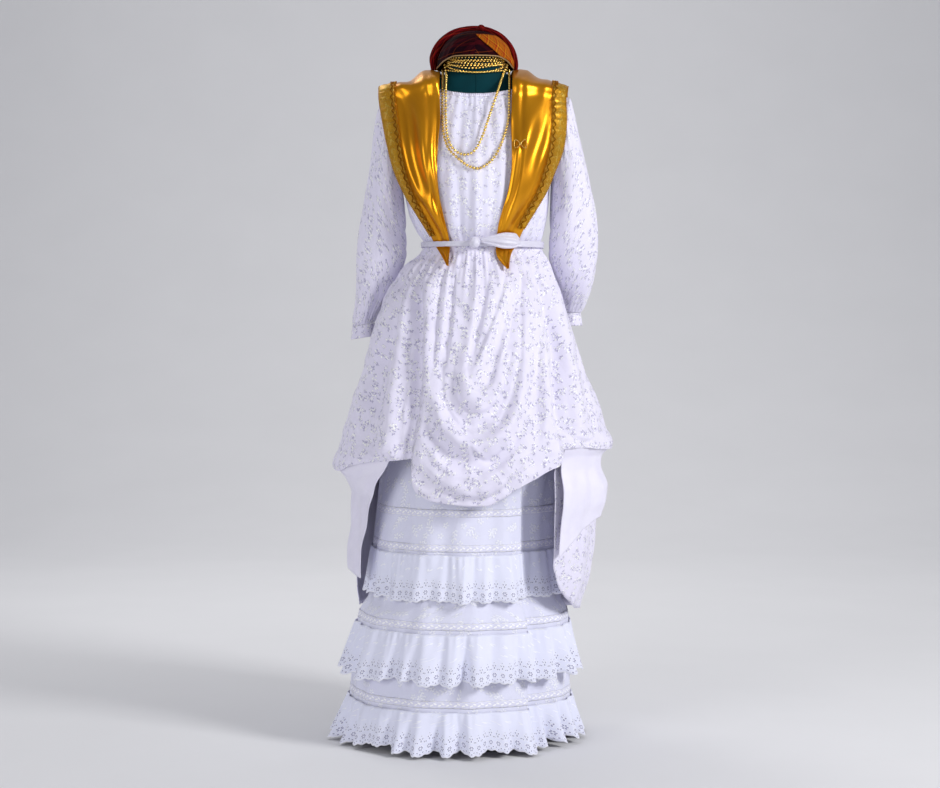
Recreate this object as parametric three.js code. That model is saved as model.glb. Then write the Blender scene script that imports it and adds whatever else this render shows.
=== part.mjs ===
// Wob dwiyet, the Creole grand robe, dressed on a limbless dress form that stands on a round foot.
// It has a gown with a caught-up overskirt, a three-flounce petticoat, a satin foulard with lace edges
// that is tucked into a tie belt, a madras head tie, bead necklaces and a brooch.
//
// Millimetres, +Z up, the front faces -Y and +X is the viewer's right. The origin is on the floor at the
// centre of the foot. An angle of 0 looks to the front, 90 degrees is +X, 180 degrees is the back.
//
// Cloth is a closed wall. Its outer points come from horizontal sections (half widths to the left and
// right, half depths to the front and back) with folds added, and its inner points lie one thickness inside.
import * as THREE from "three";

// Driving dimensions.
const waistHeight = 1030; // the belt's middle
const shoulderHeight = 1345; // the gown's shoulder points
const neckSideHeight = 1388; // where the shoulder seams meet the neckline
const neckDrop = 51; // how far the neckline scoops down at the centre front
const armpitHeight = 1212;
const clothThickness = 2;
const ruffleThickness = 1.6;
const satinThickness = 1.4;
const seamGap = 0.8; // between two pieces that are sewn edge to edge

const degrees = (angle) => (angle * Math.PI) / 180;
const mix = (a, b, t) => a + (b - a) * t;
const clamp01 = (t) => Math.min(1, Math.max(0, t));
const smooth = (from, to, value) => {
  const t = clamp01((value - from) / (to - from));
  return t * t * (3 - 2 * t);
};
const bell = (distance, width) => Math.exp(-((distance / width) ** 2));

// Tables: rows are sorted by their first column, and every other column is a smooth function of it.
function tableOf(columns, ...rows) {
  const keys = rows.map((row) => row[0]);
  const rising = keys[keys.length - 1] > keys[0] ? 1 : -1;
  const slope = (i, c) => (rows[i + 1][c] - rows[i][c]) / (keys[i + 1] - keys[i]);
  const tangent = (i, c) => {
    if (i === 0) return slope(0, c);
    if (i === rows.length - 1) return slope(i - 1, c);
    const before = slope(i - 1, c);
    const after = slope(i, c);
    return before * after <= 0 ? 0 : (2 * before * after) / (before + after);
  };
  return (key) => {
    let i = 0;
    while (i < rows.length - 2 && (key - keys[i + 1]) * rising > 0) i += 1;
    const span = keys[i + 1] - keys[i];
    const t = clamp01((key - keys[i]) / span);
    const found = {};
    columns.forEach((name, c) => {
      const [a, b] = [rows[i][c], rows[i + 1][c]];
      const [ta, tb] = [tangent(i, c) * span, tangent(i + 1, c) * span];
      const [t2, t3] = [t * t, t * t * t];
      found[name] =
        (2 * t3 - 3 * t2 + 1) * a + (t3 - 2 * t2 + t) * ta + (3 * t2 - 2 * t3) * b + (t3 - t2) * tb;
    });
    found[columns[0]] = key;
    return found;
  };
}

// The distance from the axis to a section's edge in the direction of an angle.
function sectionRadius(section, angle) {
  const power = section.squareness ?? 2;
  const across = Math.sin(angle);
  const ahead = Math.cos(angle);
  const halfWidth = across < 0 ? section.left : section.right;
  const halfDepth = ahead > 0 ? section.front : section.back;
  return (
    1 / ((Math.abs(across) / halfWidth) ** power + (Math.abs(ahead) / halfDepth) ** power) ** (1 / power)
  );
}

const polar = (angle, radius, z, shift = 0) =>
  new THREE.Vector3(shift + radius * Math.sin(angle), -radius * Math.cos(angle), z);

// Solids from grids.
function geometryOf(points, triangles) {
  const geometry = new THREE.BufferGeometry();
  const coordinates = points.flatMap((p) => [p.x, p.y, p.z]);
  geometry.setAttribute("position", new THREE.Float32BufferAttribute(coordinates, 3));
  geometry.setIndex(triangles);
  geometry.computeVertexNormals();
  return geometry;
}

// A cloth wall over a grid of outer points: u runs anticlockwise seen from above, v runs downwards.
// around joins the last column to the first. The inner points are the outer ones moved inwards.
function clothWall(surface, { columns, rows, thickness = clothThickness, around = false, steps = null }) {
  const columnCount = around ? columns : columns + 1;
  const vs = steps ?? Array.from({ length: rows + 1 }, (_, j) => j / rows);
  const outer = vs.map((v) => Array.from({ length: columnCount }, (_, i) => surface(i / columns, v)));
  const columnAt = (i) => (around ? (i + columns) % columns : Math.min(Math.max(i, 0), columns));
  const inner = outer.map((line, j) =>
    line.map((point, i) => {
      const along = line[columnAt(i + 1)].clone().sub(line[columnAt(i - 1)]);
      const down = outer[Math.min(j + 1, vs.length - 1)][i].clone().sub(outer[Math.max(j - 1, 0)][i]);
      return point.clone().addScaledVector(down.cross(along).normalize(), -thickness);
    }),
  );
  const points = [...outer.flat(), ...inner.flat()];
  const offset = columnCount * vs.length;
  const outside = (i, j) => j * columnCount + columnAt(i);
  const inside = (i, j) => offset + outside(i, j);
  const triangles = [];
  const quad = (a, b, c, d) => triangles.push(a, b, c, a, c, d);
  const last = vs.length - 1;
  for (let i = 0; i < columns; i += 1) {
    for (let j = 0; j < last; j += 1) {
      quad(outside(i, j), outside(i, j + 1), outside(i + 1, j + 1), outside(i + 1, j));
      quad(inside(i, j), inside(i + 1, j), inside(i + 1, j + 1), inside(i, j + 1));
    }
    quad(outside(i, 0), outside(i + 1, 0), inside(i + 1, 0), inside(i, 0));
    quad(outside(i, last), inside(i, last), inside(i + 1, last), outside(i + 1, last));
  }
  if (!around)
    for (let j = 0; j < last; j += 1) {
      quad(outside(0, j + 1), outside(0, j), inside(0, j), inside(0, j + 1));
      quad(outside(columns, j), outside(columns, j + 1), inside(columns, j + 1), inside(columns, j));
    }
  return geometryOf(points, triangles);
}

// A full solid of closed rings from top to bottom, closed by a fan at each end.
function solidOfRings(ring, { columns, heights }) {
  const turns = Array.from({ length: columns }, (_, i) => (2 * Math.PI * i) / columns);
  const points = heights.flatMap((z) => turns.map((angle) => ring(angle, z)));
  const at = (i, j) => j * columns + (i % columns);
  const triangles = [];
  for (let j = 0; j < heights.length - 1; j += 1)
    for (let i = 0; i < columns; i += 1) {
      triangles.push(at(i, j), at(i, j + 1), at(i + 1, j + 1));
      triangles.push(at(i, j), at(i + 1, j + 1), at(i + 1, j));
    }
  [0, heights.length - 1].forEach((j) => {
    const middle = points.length;
    const centre = new THREE.Vector3();
    for (let i = 0; i < columns; i += 1) centre.addScaledVector(points[at(i, j)], 1 / columns);
    points.push(centre);
    for (let i = 0; i < columns; i += 1)
      triangles.push(middle, ...(j === 0 ? [at(i, j), at(i + 1, j)] : [at(i + 1, j), at(i, j)]));
  });
  return geometryOf(points, triangles);
}

// A strand: a round tube along a closed curve.
function closedStrand(curve, radius, steps, sides = 4) {
  const frames = curve.computeFrenetFrames(steps, true);
  const points = [];
  for (let j = 0; j < steps; j += 1) {
    const centre = curve.getPointAt(j / steps);
    for (let i = 0; i < sides; i += 1) {
      const turn = (2 * Math.PI * (i + 0.5)) / sides;
      points.push(
        centre
          .clone()
          .addScaledVector(frames.normals[j], radius * Math.cos(turn))
          .addScaledVector(frames.binormals[j], radius * Math.sin(turn)),
      );
    }
  }
  const at = (i, j) => (j % steps) * sides + (i % sides);
  const triangles = [];
  for (let j = 0; j < steps; j += 1)
    for (let i = 0; i < sides; i += 1) {
      triangles.push(at(i, j), at(i + 1, j), at(i + 1, j + 1));
      triangles.push(at(i, j), at(i + 1, j + 1), at(i, j + 1));
    }
  return geometryOf(points, triangles);
}

const garment = new THREE.Group();

function addPiece(name, geometry, material) {
  const piece = new THREE.Mesh(geometry, material);
  piece.name = name;
  garment.add(piece);
  return piece;
}

const finish = (colour, roughness, metalness = 0) =>
  new THREE.MeshStandardMaterial({ color: colour, roughness, metalness });
const formCloth = finish(0x04424a, 0.75);
const standMetal = finish(0x2b2b2e, 0.45, 0.8);
const gownCloth = finish(0xe6e3f4, 0.6);
const liningCloth = finish(0xe9e7fb, 0.55);
const petticoatCloth = finish(0xe4e1f0, 0.7);
const eyeletCloth = finish(0xebebfa, 0.7);
const goldSatin = finish(0xc98a14, 0.3, 0.1);
const goldLace = finish(0xb57a12, 0.45, 0.3);
const madrasCloth = finish(0x6a1420, 0.7);
const goldBead = finish(0xd9b04a, 0.25, 1);

// Dress form: a general torso with no limbs, a neck, a neck cap, a pole and a round foot.
const formBottom = 780;
const neckTop = 1440;
const formSections = tableOf(
  ["z", "left", "right", "front", "back", "squareness"],
  [formBottom, 150, 150, 104, 112, 2.2],
  [860, 156, 156, 106, 116, 2.2],
  [950, 138, 138, 96, 100, 2.1],
  [1035, 95, 96, 78, 74, 2],
  [1100, 116, 116, 96, 84, 2],
  [1165, 137, 137, 121, 96, 2.1],
  [1215, 147, 147, 122, 101, 2.2],
  [1275, 154, 154, 102, 100, 2.2],
  [1322, 161, 161, 78, 88, 2.3],
  [1346, 151, 151, 67, 76, 2.3],
  [1355, 128, 128, 64, 72, 2.2],
  [1370, 103, 103, 61, 67, 2],
  [1384, 73, 73, 58, 62, 2],
  [1394, 62, 62, 56, 58, 2],
  [1404, 59, 59, 55, 57, 2],
  [neckTop, 58, 58, 55, 57, 2],
);
const formHeights = [
  1440, 1404, 1394, 1384, 1370, 1355, 1346, 1322, 1275, 1215, 1165, 1100, 1035, 1005, 940, 780,
];
addPiece(
  "form_torso",
  solidOfRings((angle, z) => polar(angle, sectionRadius(formSections(z), angle), z), {
    columns: 24,
    heights: formHeights,
  }),
  formCloth,
);

const capRadius = 50;
const capTop = 1477.2;
function lathed(profile, sides) {
  const geometry = new THREE.LatheGeometry(
    profile.map(([r, z]) => new THREE.Vector2(r, z)),
    sides,
  );
  return geometry.rotateX(Math.PI / 2);
}
addPiece(
  "form_neck_cap",
  lathed(
    [
      [0, neckTop + 0.3],
      [capRadius, neckTop + 0.3],
      [capRadius, neckTop + 12],
      [capRadius - 14, capTop - 12],
      [18, capTop - 4.5],
      [0, capTop],
    ],
    16,
  ),
  standMetal,
);

const footRadius = 165;
const footThickness = 22;
const poleRadius = 16;
addPiece(
  "stand_foot",
  lathed(
    [
      [0, 0],
      [footRadius, 0],
      [footRadius, footThickness - 8],
      [footRadius - 10, footThickness],
      [0, footThickness],
    ],
    28,
  ),
  standMetal,
);
addPiece(
  "stand_pole",
  lathed(
    [
      [0, footThickness + 0.3],
      [poleRadius, footThickness + 0.3],
      [poleRadius, formBottom - 0.3],
      [0, formBottom - 0.3],
    ],
    12,
  ),
  standMetal,
);

// Petticoat: a plain A-line tube under three gathered eyelet flounces.
// Its hem hangs a little to one side of the pole, and a deep pleat sets its right front back.
const waistbandOut = 3.2; // the petticoat's waist hugs the form
const waistband = formSections(1005);
["left", "right", "front", "back"].forEach((side) => {
  waistband[side] += waistbandOut;
});
const petticoatSections = tableOf(
  ["z", "shift", "left", "right", "front", "back"],
  [75, -32, 233, 233, 216, 208],
  [165, -29, 228, 228, 210, 203],
  [265, -25, 220, 220, 202, 196],
  [311, -24, 197, 197, 188, 186],
  [405, -22, 195, 195, 184, 180],
  [489, -18, 191, 191, 178, 172],
  [600, -12, 186, 186, 166, 160],
  [760, -3, 176, 176, 134, 140],
  [860, 0, 167, 167, 117, 127],
  [950, 0, 146, 146, 104, 109],
  [1005, 0, waistband.left, waistband.right, waistband.front, waistband.back],
);
const sidePleat = { angle: degrees(40), lip: degrees(3), fade: degrees(46), depth: 24 };
const sidePleatAt = (angle, z) =>
  -sidePleat.depth *
  smooth(sidePleat.angle - sidePleat.lip, sidePleat.angle + sidePleat.lip, angle) *
  (1 - smooth(sidePleat.angle + sidePleat.lip, sidePleat.angle + sidePleat.fade, angle)) *
  smooth(640, 470, z);
const wrapped = (angle) => Math.atan2(Math.sin(angle), Math.cos(angle));

function petticoatPoint(angle, z, out = 0) {
  const section = petticoatSections(z);
  return polar(angle, sectionRadius(section, angle) + sidePleatAt(wrapped(angle), z) + out, z, section.shift);
}

const petticoatColumns = 32;
const petticoatHeights = [1005, 940, 860, 700, 550, 405, 311, 268, 75];
const petticoatHem = petticoatHeights[petticoatHeights.length - 1];
const petticoatSpan = petticoatHeights[0] - petticoatHem;
addPiece(
  "petticoat_skirt",
  clothWall((u, v) => petticoatPoint(2 * Math.PI * u, petticoatHeights[0] - v * petticoatSpan), {
    columns: petticoatColumns,
    steps: petticoatHeights.map((z) => (petticoatHeights[0] - z) / petticoatSpan),
    around: true,
  }),
  petticoatCloth,
);

// The petticoat's wall is flat between its columns and its heights, and what is sewn on it follows that.
function onPetticoat(angle, z, out) {
  const step = (2 * Math.PI) / petticoatColumns;
  const column = Math.floor(angle / step);
  const corner = (side, height) => petticoatPoint((column + side) * step, height, out);
  const reached = petticoatHeights.findIndex((height) => height <= z);
  const low = Math.min(petticoatHeights.length - 1, Math.max(1, reached));
  const [above, below] = [petticoatHeights[low - 1], petticoatHeights[low]];
  const down = clamp01((above - z) / (above - below));
  const [left, right] = [0, 1].map((side) => corner(side, above).lerp(corner(side, below), down));
  const [from, to] = [column * step, (column + 1) * step];
  const toLeft = Math.sin(angle - from);
  const toRight = Math.sin(to - angle);
  return left.lerp(right, toLeft / (toLeft + toRight));
}

// Insertion lace with threaded ribbon, flat rings sewn on the petticoat.
const insertionHeight = 15;
const insertions = { insertion_top: 489, insertion_upper: 418, insertion_middle: 262, insertion_lower: 106 };
Object.entries(insertions).forEach(([name, z]) =>
  addPiece(
    name,
    clothWall((u, v) => onPetticoat(2 * Math.PI * u, z + insertionHeight * (0.5 - v), 2.2), {
      columns: petticoatColumns,
      rows: 1,
      thickness: 1.2,
      around: true,
    }),
    eyeletCloth,
  ),
);

// A flounce is gathered on at its top and waves more and more towards its hem.
const flounces = [
  {
    name: "flounce_top", top: 405, hem: 313, out: 13, columns: 96,
    waves: 24, depth: 7.5, drift: 0.6, phase: 0.4, uneven: 1,
  },
  {
    name: "flounce_middle", top: 247, hem: 152, out: 23, columns: 128,
    waves: 26, depth: 10.5, drift: 0.8, phase: 1.7, uneven: 1.3,
  },
  {
    name: "flounce_hem", top: 91, hem: 14, out: 25, columns: 128,
    waves: 28, depth: 12.5, drift: 0.9, phase: 2.6, uneven: 1.5,
  },
];
const gatherOut = 4; // room for the flounce's own wall and its gathers at the seam
function flouncePoint(flounce, angle, v) {
  const z = mix(flounce.top, flounce.hem, v);
  const wave =
    Math.cos(flounce.waves * angle + flounce.drift * Math.sin(3 * angle + flounce.phase) + flounce.phase) *
    (0.75 + 0.25 * Math.sin(5 * angle + flounce.phase));
  const out = mix(gatherOut, flounce.out, v) + wave * mix(1.6, flounce.depth, v);
  const base = onPetticoat(angle, Math.max(z, petticoatHem), 0);
  const point = base.add(polar(angle, out, 0));
  point.z = z - 3 * v * (1 + wave) * flounce.uneven;
  return point;
}
flounces.forEach((flounce) =>
  addPiece(
    flounce.name,
    clothWall((u, v) => flouncePoint(flounce, 2 * Math.PI * u, v), {
      columns: flounce.columns,
      rows: 1,
      thickness: ruffleThickness,
      around: true,
    }),
    eyeletCloth,
  ),
);

// Gown bodice: front and back panels with open armholes and a scooped, gathered neck.
const bodiceBottom = waistHeight - 4;
const bodiceSections = tableOf(
  ["z", "left", "right", "front", "back", "squareness"],
  [bodiceBottom, 104, 131, 98, 91, 2],
  [1042, 107.5, 134, 103, 93.5, 2],
  [1060, 119, 139, 112, 100, 2],
  [1100, 138, 147, 126, 107, 2],
  [1160, 150, 151, 134, 112, 2.1],
  [armpitHeight, 155, 155, 133, 114, 2.2],
  [1275, 163, 163, 114, 111, 2.2],
  [1322, 169, 169, 88, 98, 2.3],
  [shoulderHeight, 170, 170, 78, 88, 2.3],
  [1358, 140, 140, 74, 82, 2.2],
  [1373, 108, 108, 71, 78, 2.1],
  [neckSideHeight, 80, 80, 69, 74, 2],
);
const armholeDepth = { front: degrees(19), back: degrees(17) };
const bodiceGathers = (angle, z) => {
  const atSeam = 0.35 + 0.65 * smooth(1028, 1055, z);
  const amount = 2.2 * atSeam * (1 - 0.5 * smooth(1035, 1200, z)) * (1 - smooth(1335, 1375, z));
  return amount * Math.cos(13 * angle + 0.5 * Math.sin(4 * angle));
};
const armholeCut = (z, depth) =>
  depth * Math.sin(Math.PI * clamp01((z - armpitHeight) / (shoulderHeight - armpitHeight))) ** 0.8;

function bodicePoint(angle, z, out = 0) {
  return polar(angle, sectionRadius(bodiceSections(z), angle) + bodiceGathers(angle, z) + out, z);
}

// across runs from -1 to 1 between the panel's side edges, and facing is 0 for the front, pi for the back.
function bodicePanel(facing, across, v) {
  const front = facing === 0;
  const drop = front ? neckDrop : 14;
  const top = neckSideHeight - drop * (1 - Math.abs(across) ** 2.5);
  const z = mix(top, bodiceBottom, v);
  const radius = sectionRadius(bodiceSections(z), Math.PI / 2);
  const cut = armholeCut(z, front ? armholeDepth.front : armholeDepth.back);
  const seam = seamGap * (1 + 2 * smooth(1325, shoulderHeight, z));
  const edge = Math.PI / 2 - cut - seam / 2 / radius;
  return bodicePoint(facing + across * edge, z);
}
// The rows meet the armhole at the same heights as the sleeve's columns do.
const sleeveColumns = 12;
const armholeHeights = Array.from({ length: sleeveColumns / 2 + 1 }, (_, i) =>
  mix(armpitHeight, shoulderHeight, (1 + Math.cos((2 * Math.PI * i) / sleeveColumns)) / 2),
);
const bodiceSteps = [neckSideHeight, 1366, ...armholeHeights, 1150, 1085, bodiceBottom].map(
  (z) => (neckSideHeight - z) / (neckSideHeight - bodiceBottom),
);
addPiece(
  "gown_bodice_front",
  clothWall((u, v) => bodicePanel(0, 2 * u - 1, v), { columns: 20, steps: bodiceSteps }),
  gownCloth,
);
addPiece(
  "gown_bodice_back",
  clothWall((u, v) => bodicePanel(Math.PI, 2 * u - 1, v), { columns: 16, steps: bodiceSteps }),
  gownCloth,
);

// Sleeves: full tubes from the armholes, drawn in to narrow cuffs.
// Each row is one ring: its point nearest the body, its point furthest out, its middle depth and half depth.
const ringColumns = ["t", "innerX", "innerZ", "outerX", "outerZ", "y", "halfDepth"];
const rightSleeve = tableOf(
  ringColumns,
  [1, 164, 1203, 197, 1341, 0, 54],
  [2, 160, 1188, 208, 1296, 2, 56],
  [3, 157, 1160, 224, 1235, 5, 55],
  [4, 155, 1120, 241, 1160, 10, 54],
  [5, 153, 1080, 250, 1098, 17, 53],
  [6, 152, 1030, 255, 1030, 28, 51],
  [7, 162, 980, 253, 985, 44, 48],
  [8, 173, 938, 244, 938, 64, 42],
  [9, 176, 908, 232, 908, 82, 33],
  [10, 178, 893, 224, 893, 90, 25],
);
const leftSleeve = tableOf(
  ringColumns,
  [1, -164, 1203, -198, 1341, 0, 54],
  [2, -159, 1188, -210, 1290, 2, 56],
  [3, -155.5, 1155, -221, 1205, 5, 55],
  [4, -149.5, 1115, -233, 1138, 9, 54],
  [5, -144, 1078, -241, 1080, 14, 53],
  [6, -144, 1032, -248, 1025, 22, 51],
  [7, -158, 982, -252, 978, 34, 48],
  [8, -184, 932, -256, 925, 46, 43],
  [9, -208, 890, -261, 881, 56, 33],
  [10, -216, 872, -262, 864, 60, 25],
);
const sleeveSide = { right: 1, left: -1 };
const sleeveHeadOut = 2.2; // the sleeve head stands this far outside the armhole's edge

function armholeLoop(side, turn) {
  const z = mix(armpitHeight, shoulderHeight, (1 + Math.cos(turn)) / 2);
  const forward = Math.sin(turn) < 0;
  const cut = armholeCut(z, forward ? armholeDepth.front : armholeDepth.back);
  const angle = forward ? Math.PI / 2 - cut : Math.PI / 2 + cut;
  const point = polar(angle, sectionRadius(bodiceSections(z), angle), z);
  point.x = side * (point.x + sleeveHeadOut);
  point.z += 1.4 * Math.cos(turn);
  return point;
}
// turn 0 is the outer and upper point of a ring, and -90 degrees its front.
function sleevePoint(rings, side, turn, t) {
  const ring = rings(Math.max(1, t));
  const middle = new THREE.Vector3((ring.innerX + ring.outerX) / 2, ring.y, (ring.innerZ + ring.outerZ) / 2);
  const reach = new THREE.Vector3(ring.outerX, ring.y, ring.outerZ).sub(middle);
  const gathers = 1.6 * smooth(6.5, 9, t) * (1 - smooth(9.4, 10, t)) * Math.cos(8 * turn);
  const folds = 2 * Math.cos(3 * turn + 1.2 * t) * smooth(2, 4, t) * (1 - smooth(8, 10, t));
  const size = 1 + (gathers + folds) / 50;
  const point = middle.clone().addScaledVector(reach, Math.cos(turn) * size);
  point.y += ring.halfDepth * Math.sin(turn) * size;
  return t >= 1 ? point : armholeLoop(side, turn).lerp(point, t);
}
const sleeveSteps = [0, 1, 2, 3, 4, 5, 6.3, 7.5, 8.5, 9.3, 10].map((t) => t / 10);
function addSleeve(name, cuffName, rings, side) {
  const turnOf = (u) => 2 * Math.PI * u * side;
  addPiece(
    name,
    clothWall((u, v) => sleevePoint(rings, side, turnOf(u), 10 * v), {
      columns: sleeveColumns,
      steps: sleeveSteps,
      around: true,
      thickness: 1.6,
    }),
    gownCloth,
  );
  const cuffLength = 27;
  const wrist = rings(10);
  addPiece(
    cuffName,
    clothWall(
      (u, v) => {
        const turn = turnOf(u);
        const halfWidth = Math.abs(wrist.outerX - wrist.innerX) / 2 + 1 + 3 * v;
        const x = (wrist.innerX + wrist.outerX) / 2 + side * halfWidth * Math.cos(turn);
        const slope = ((wrist.outerZ - wrist.innerZ) / 2) * Math.cos(turn);
        const z = (wrist.innerZ + wrist.outerZ) / 2 + slope - 0.5 - cuffLength * v;
        return new THREE.Vector3(x, wrist.y + (wrist.halfDepth + 1 + 3 * v) * Math.sin(turn), z);
      },
      { columns: sleeveColumns, rows: 1, around: true },
    ),
    gownCloth,
  );
}
addSleeve("gown_sleeve_right", "gown_cuff_right", rightSleeve, sleeveSide.right);
addSleeve("gown_sleeve_left", "gown_cuff_left", leftSleeve, sleeveSide.left);

// Overskirt: a front with side puffs and a caught-up swag, and a back that hangs lower.
const skirtTop = waistHeight + 2; // it laps over the bodice's lower edge
const skirtSections = tableOf(
  ["z", "left", "right", "front", "back"],
  [500, 286, 280, 224, 240],
  [567, 295, 286, 230, 240],
  [609, 288, 284, 230, 236],
  [639, 281, 277, 227, 230],
  [687, 266, 264, 218, 222],
  [735, 246, 247, 208, 212],
  [775, 231, 228, 198, 204],
  [846, 217, 203, 180, 188],
  [872, 211, 192, 173, 180],
  [916, 196, 181, 160, 165],
  [956, 173, 167, 145, 146],
  [991, 148, 155, 124, 125],
  [1014, 119, 143, 109, 109],
  [skirtTop, 109, 136, 104, 97.5],
);
// Grooves and ridges of the overskirt's front, each along a line of points across (x) and up (z): its
// depth is positive for a ridge and negative for a groove, and it fades out at both ends.
const skirtFolds = [
  {
    depth: 13, width: 20,
    line: [[-84, 800], [-78, 709], [-58, 664], [-12, 634], [46, 657], [82, 719], [95, 800], [101, 880]],
  },
  {
    depth: -8, width: 16,
    line: [[-60, 790], [-54, 714], [-34, 682], [-2, 668], [32, 680], [60, 726], [74, 790]],
  },
  {
    depth: 8, width: 18,
    line: [[-38, 850], [-30, 760], [-12, 722], [16, 718], [44, 744], [62, 800], [74, 870]],
  },
  {
    depth: -7, width: 16,
    line: [[-94, 740], [-88, 668], [-58, 618], [4, 592], [66, 618], [104, 684], [114, 770]],
  },
  { depth: 8, width: 17, line: [[-110, 620], [-84, 574], [-30, 545], [20, 545], [72, 580], [112, 636]] },
  { depth: 8, width: 18, line: [[62, 985], [36, 890], [6, 800], [-16, 744]] },
  { depth: -7, width: 17, line: [[84, 960], [72, 880], [44, 800], [26, 750]] },
  {
    depth: -16, width: 13,
    line: [[-98, 1000], [-116, 950], [-121, 840], [-126, 740], [-144, 620], [-150, 570]],
  },
  { depth: 10, width: 17, line: [[-84, 1000], [-96, 940], [-97, 860], [-100, 760]] },
  { depth: 10, width: 18, line: [[-112, 1000], [-140, 930], [-152, 830], [-164, 730], [-176, 620]] },
  { depth: -13, width: 14, line: [[-128, 1000], [-160, 905], [-186, 790], [-208, 700], [-220, 620]] },
  { depth: 9, width: 17, line: [[-150, 960], [-192, 850], [-230, 740], [-250, 640]] },
  { depth: -17, width: 13, line: [[124, 990], [142, 930], [163, 846], [168, 735], [176, 640]] },
  { depth: 9, width: 16, line: [[104, 985], [120, 900], [134, 800], [140, 700], [144, 620]] },
  { depth: 10, width: 17, line: [[138, 985], [166, 900], [190, 810], [204, 710], [214, 640]] },
];

function distanceToLine(line, x, z) {
  let best = { distance: Infinity, along: 0 };
  for (let i = 0; i < line.length - 1; i += 1) {
    const [from, to] = [line[i], line[i + 1]];
    const [dx, dz] = [to[0] - from[0], to[1] - from[1]];
    const t = clamp01(((x - from[0]) * dx + (z - from[1]) * dz) / (dx * dx + dz * dz));
    const distance = Math.hypot(x - from[0] - t * dx, z - from[1] - t * dz);
    if (distance < best.distance) best = { distance, along: (i + t) / (line.length - 1) };
  }
  return best;
}

function skirtFoldDepth(x, z) {
  return skirtFolds.reduce((sum, fold) => {
    const { distance, along } = distanceToLine(fold.line, x, z);
    if (distance > 3 * fold.width) return sum;
    const fade = smooth(-0.05, 0.3, along) * (1 - smooth(0.75, 1.2, along));
    return sum + fold.depth * bell(distance, fold.width) * fade;
  }, 0);
}
function skirtPoint(angle, z, out = 0) {
  const radius = sectionRadius(skirtSections(z), angle);
  const nearTop = smooth(1026, 1000, z) * smooth(880, 990, z);
  const gathers = 2.2 * nearTop * Math.cos(34 * angle + Math.sin(7 * angle));
  return polar(angle, radius + skirtFoldDepth(radius * Math.sin(angle), z) + gathers + out, z);
}
const frontHem = tableOf(
  ["angle", "z"],
  [-100, 566],
  [-80, 566],
  [-66, 582],
  [-54, 592],
  [-40, 598],
  [-33.5, 602],
  [-31.5, 540],
  [-25, 523],
  [-14, 515],
  [-3, 511],
  [5, 511],
  [14, 528],
  [23, 550],
  [31, 567],
  [38, 580],
  [42.5, 587],
  [44.5, 619],
  [55, 621],
  [68, 615],
  [82, 611],
  [100, 608],
);
const skirtFrontEdge = 97;
const skirtRowSteps = [
  0, 0.035, 0.08, 0.15, 0.24, 0.34, 0.43, 0.51, 0.58, 0.645, 0.705, 0.76, 0.82, 0.88, 0.94, 1,
];
addPiece(
  "gown_skirt_front",
  clothWall(
    (u, v) => {
      const across = 2 * u - 1; // columns are closer together in the swag
      const angle = skirtFrontEdge * (0.72 * across + 0.28 * across ** 3);
      return skirtPoint(degrees(angle), mix(skirtTop, frontHem(angle).z, v));
    },
    { columns: 42, steps: skirtRowSteps },
  ),
  gownCloth,
);

const backSections = tableOf(
  ["z", "left", "right", "front", "back"],
  [240, 250, 212, 208, 268],
  [281, 254, 218, 208, 272],
  [309, 258, 227, 209, 274],
  [342, 259, 237, 210, 274],
  [368, 261, 241, 211, 273],
  [413, 257, 248, 212, 270],
  [458, 250, 250, 212, 266],
  [517, 250, 254, 212, 260],
  [600, 244, 246, 206, 246],
  [700, 228, 228, 190, 226],
  [775, 208, 206, 174, 206],
  [846, 190, 186, 158, 184],
  [872, 184, 176, 151, 176],
  [916, 168, 168, 140, 158],
  [956, 156, 158, 128, 138],
  [991, 136, 142, 112, 118],
  [1014, 116, 140, 104, 106],
  [skirtTop, 109, 136, 104, 97.5],
);
// The back's hem falls from the right front, where its edge is rounded off, to the centre back.
const backHem = tableOf(
  ["angle", "z"],
  [44, 378],
  [50, 335],
  [58, 305],
  [70, 282],
  [90, 272],
  [135, 256],
  [180, 246],
  [225, 256],
  [262, 272],
);
const backStart = { low: 44, middle: 66, high: 98, still: 124 };
const backEnd = 262;
function backPoint(degreesRound, z, out = 0) {
  const open = smooth(95, 120, degreesRound) * (1 - smooth(245, 258, degreesRound));
  const down = clamp01((skirtTop - z) / 700);
  const angle = degrees(degreesRound);
  const folds = mix(0, 13, down ** 0.7) * mix(0.25, 1, open) * Math.cos(17 * angle + Math.sin(3 * angle));
  return polar(angle, sectionRadius(backSections(z), angle) + folds + out, z);
}
addPiece(
  "gown_skirt_back",
  clothWall(
    (u, v) => {
      const hemAngle = mix(backStart.low, backEnd, u);
      const z = mix(skirtTop, backHem(hemAngle).z, v);
      const middle = mix(backStart.low, backStart.middle, smooth(560, 700, z));
      const start = mix(middle, backStart.high, smooth(880, 990, z));
      const pushed = Math.min(1, (hemAngle - backStart.low) / (backStart.still - backStart.low));
      return backPoint(hemAngle < backStart.still ? mix(start, backStart.still, pushed) : hemAngle, z);
    },
    { columns: 40, steps: [0, 0.025, 0.1, 0.21, 0.34, 0.46, 0.58, 0.72, 1] },
  ),
  gownCloth,
);

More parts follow.
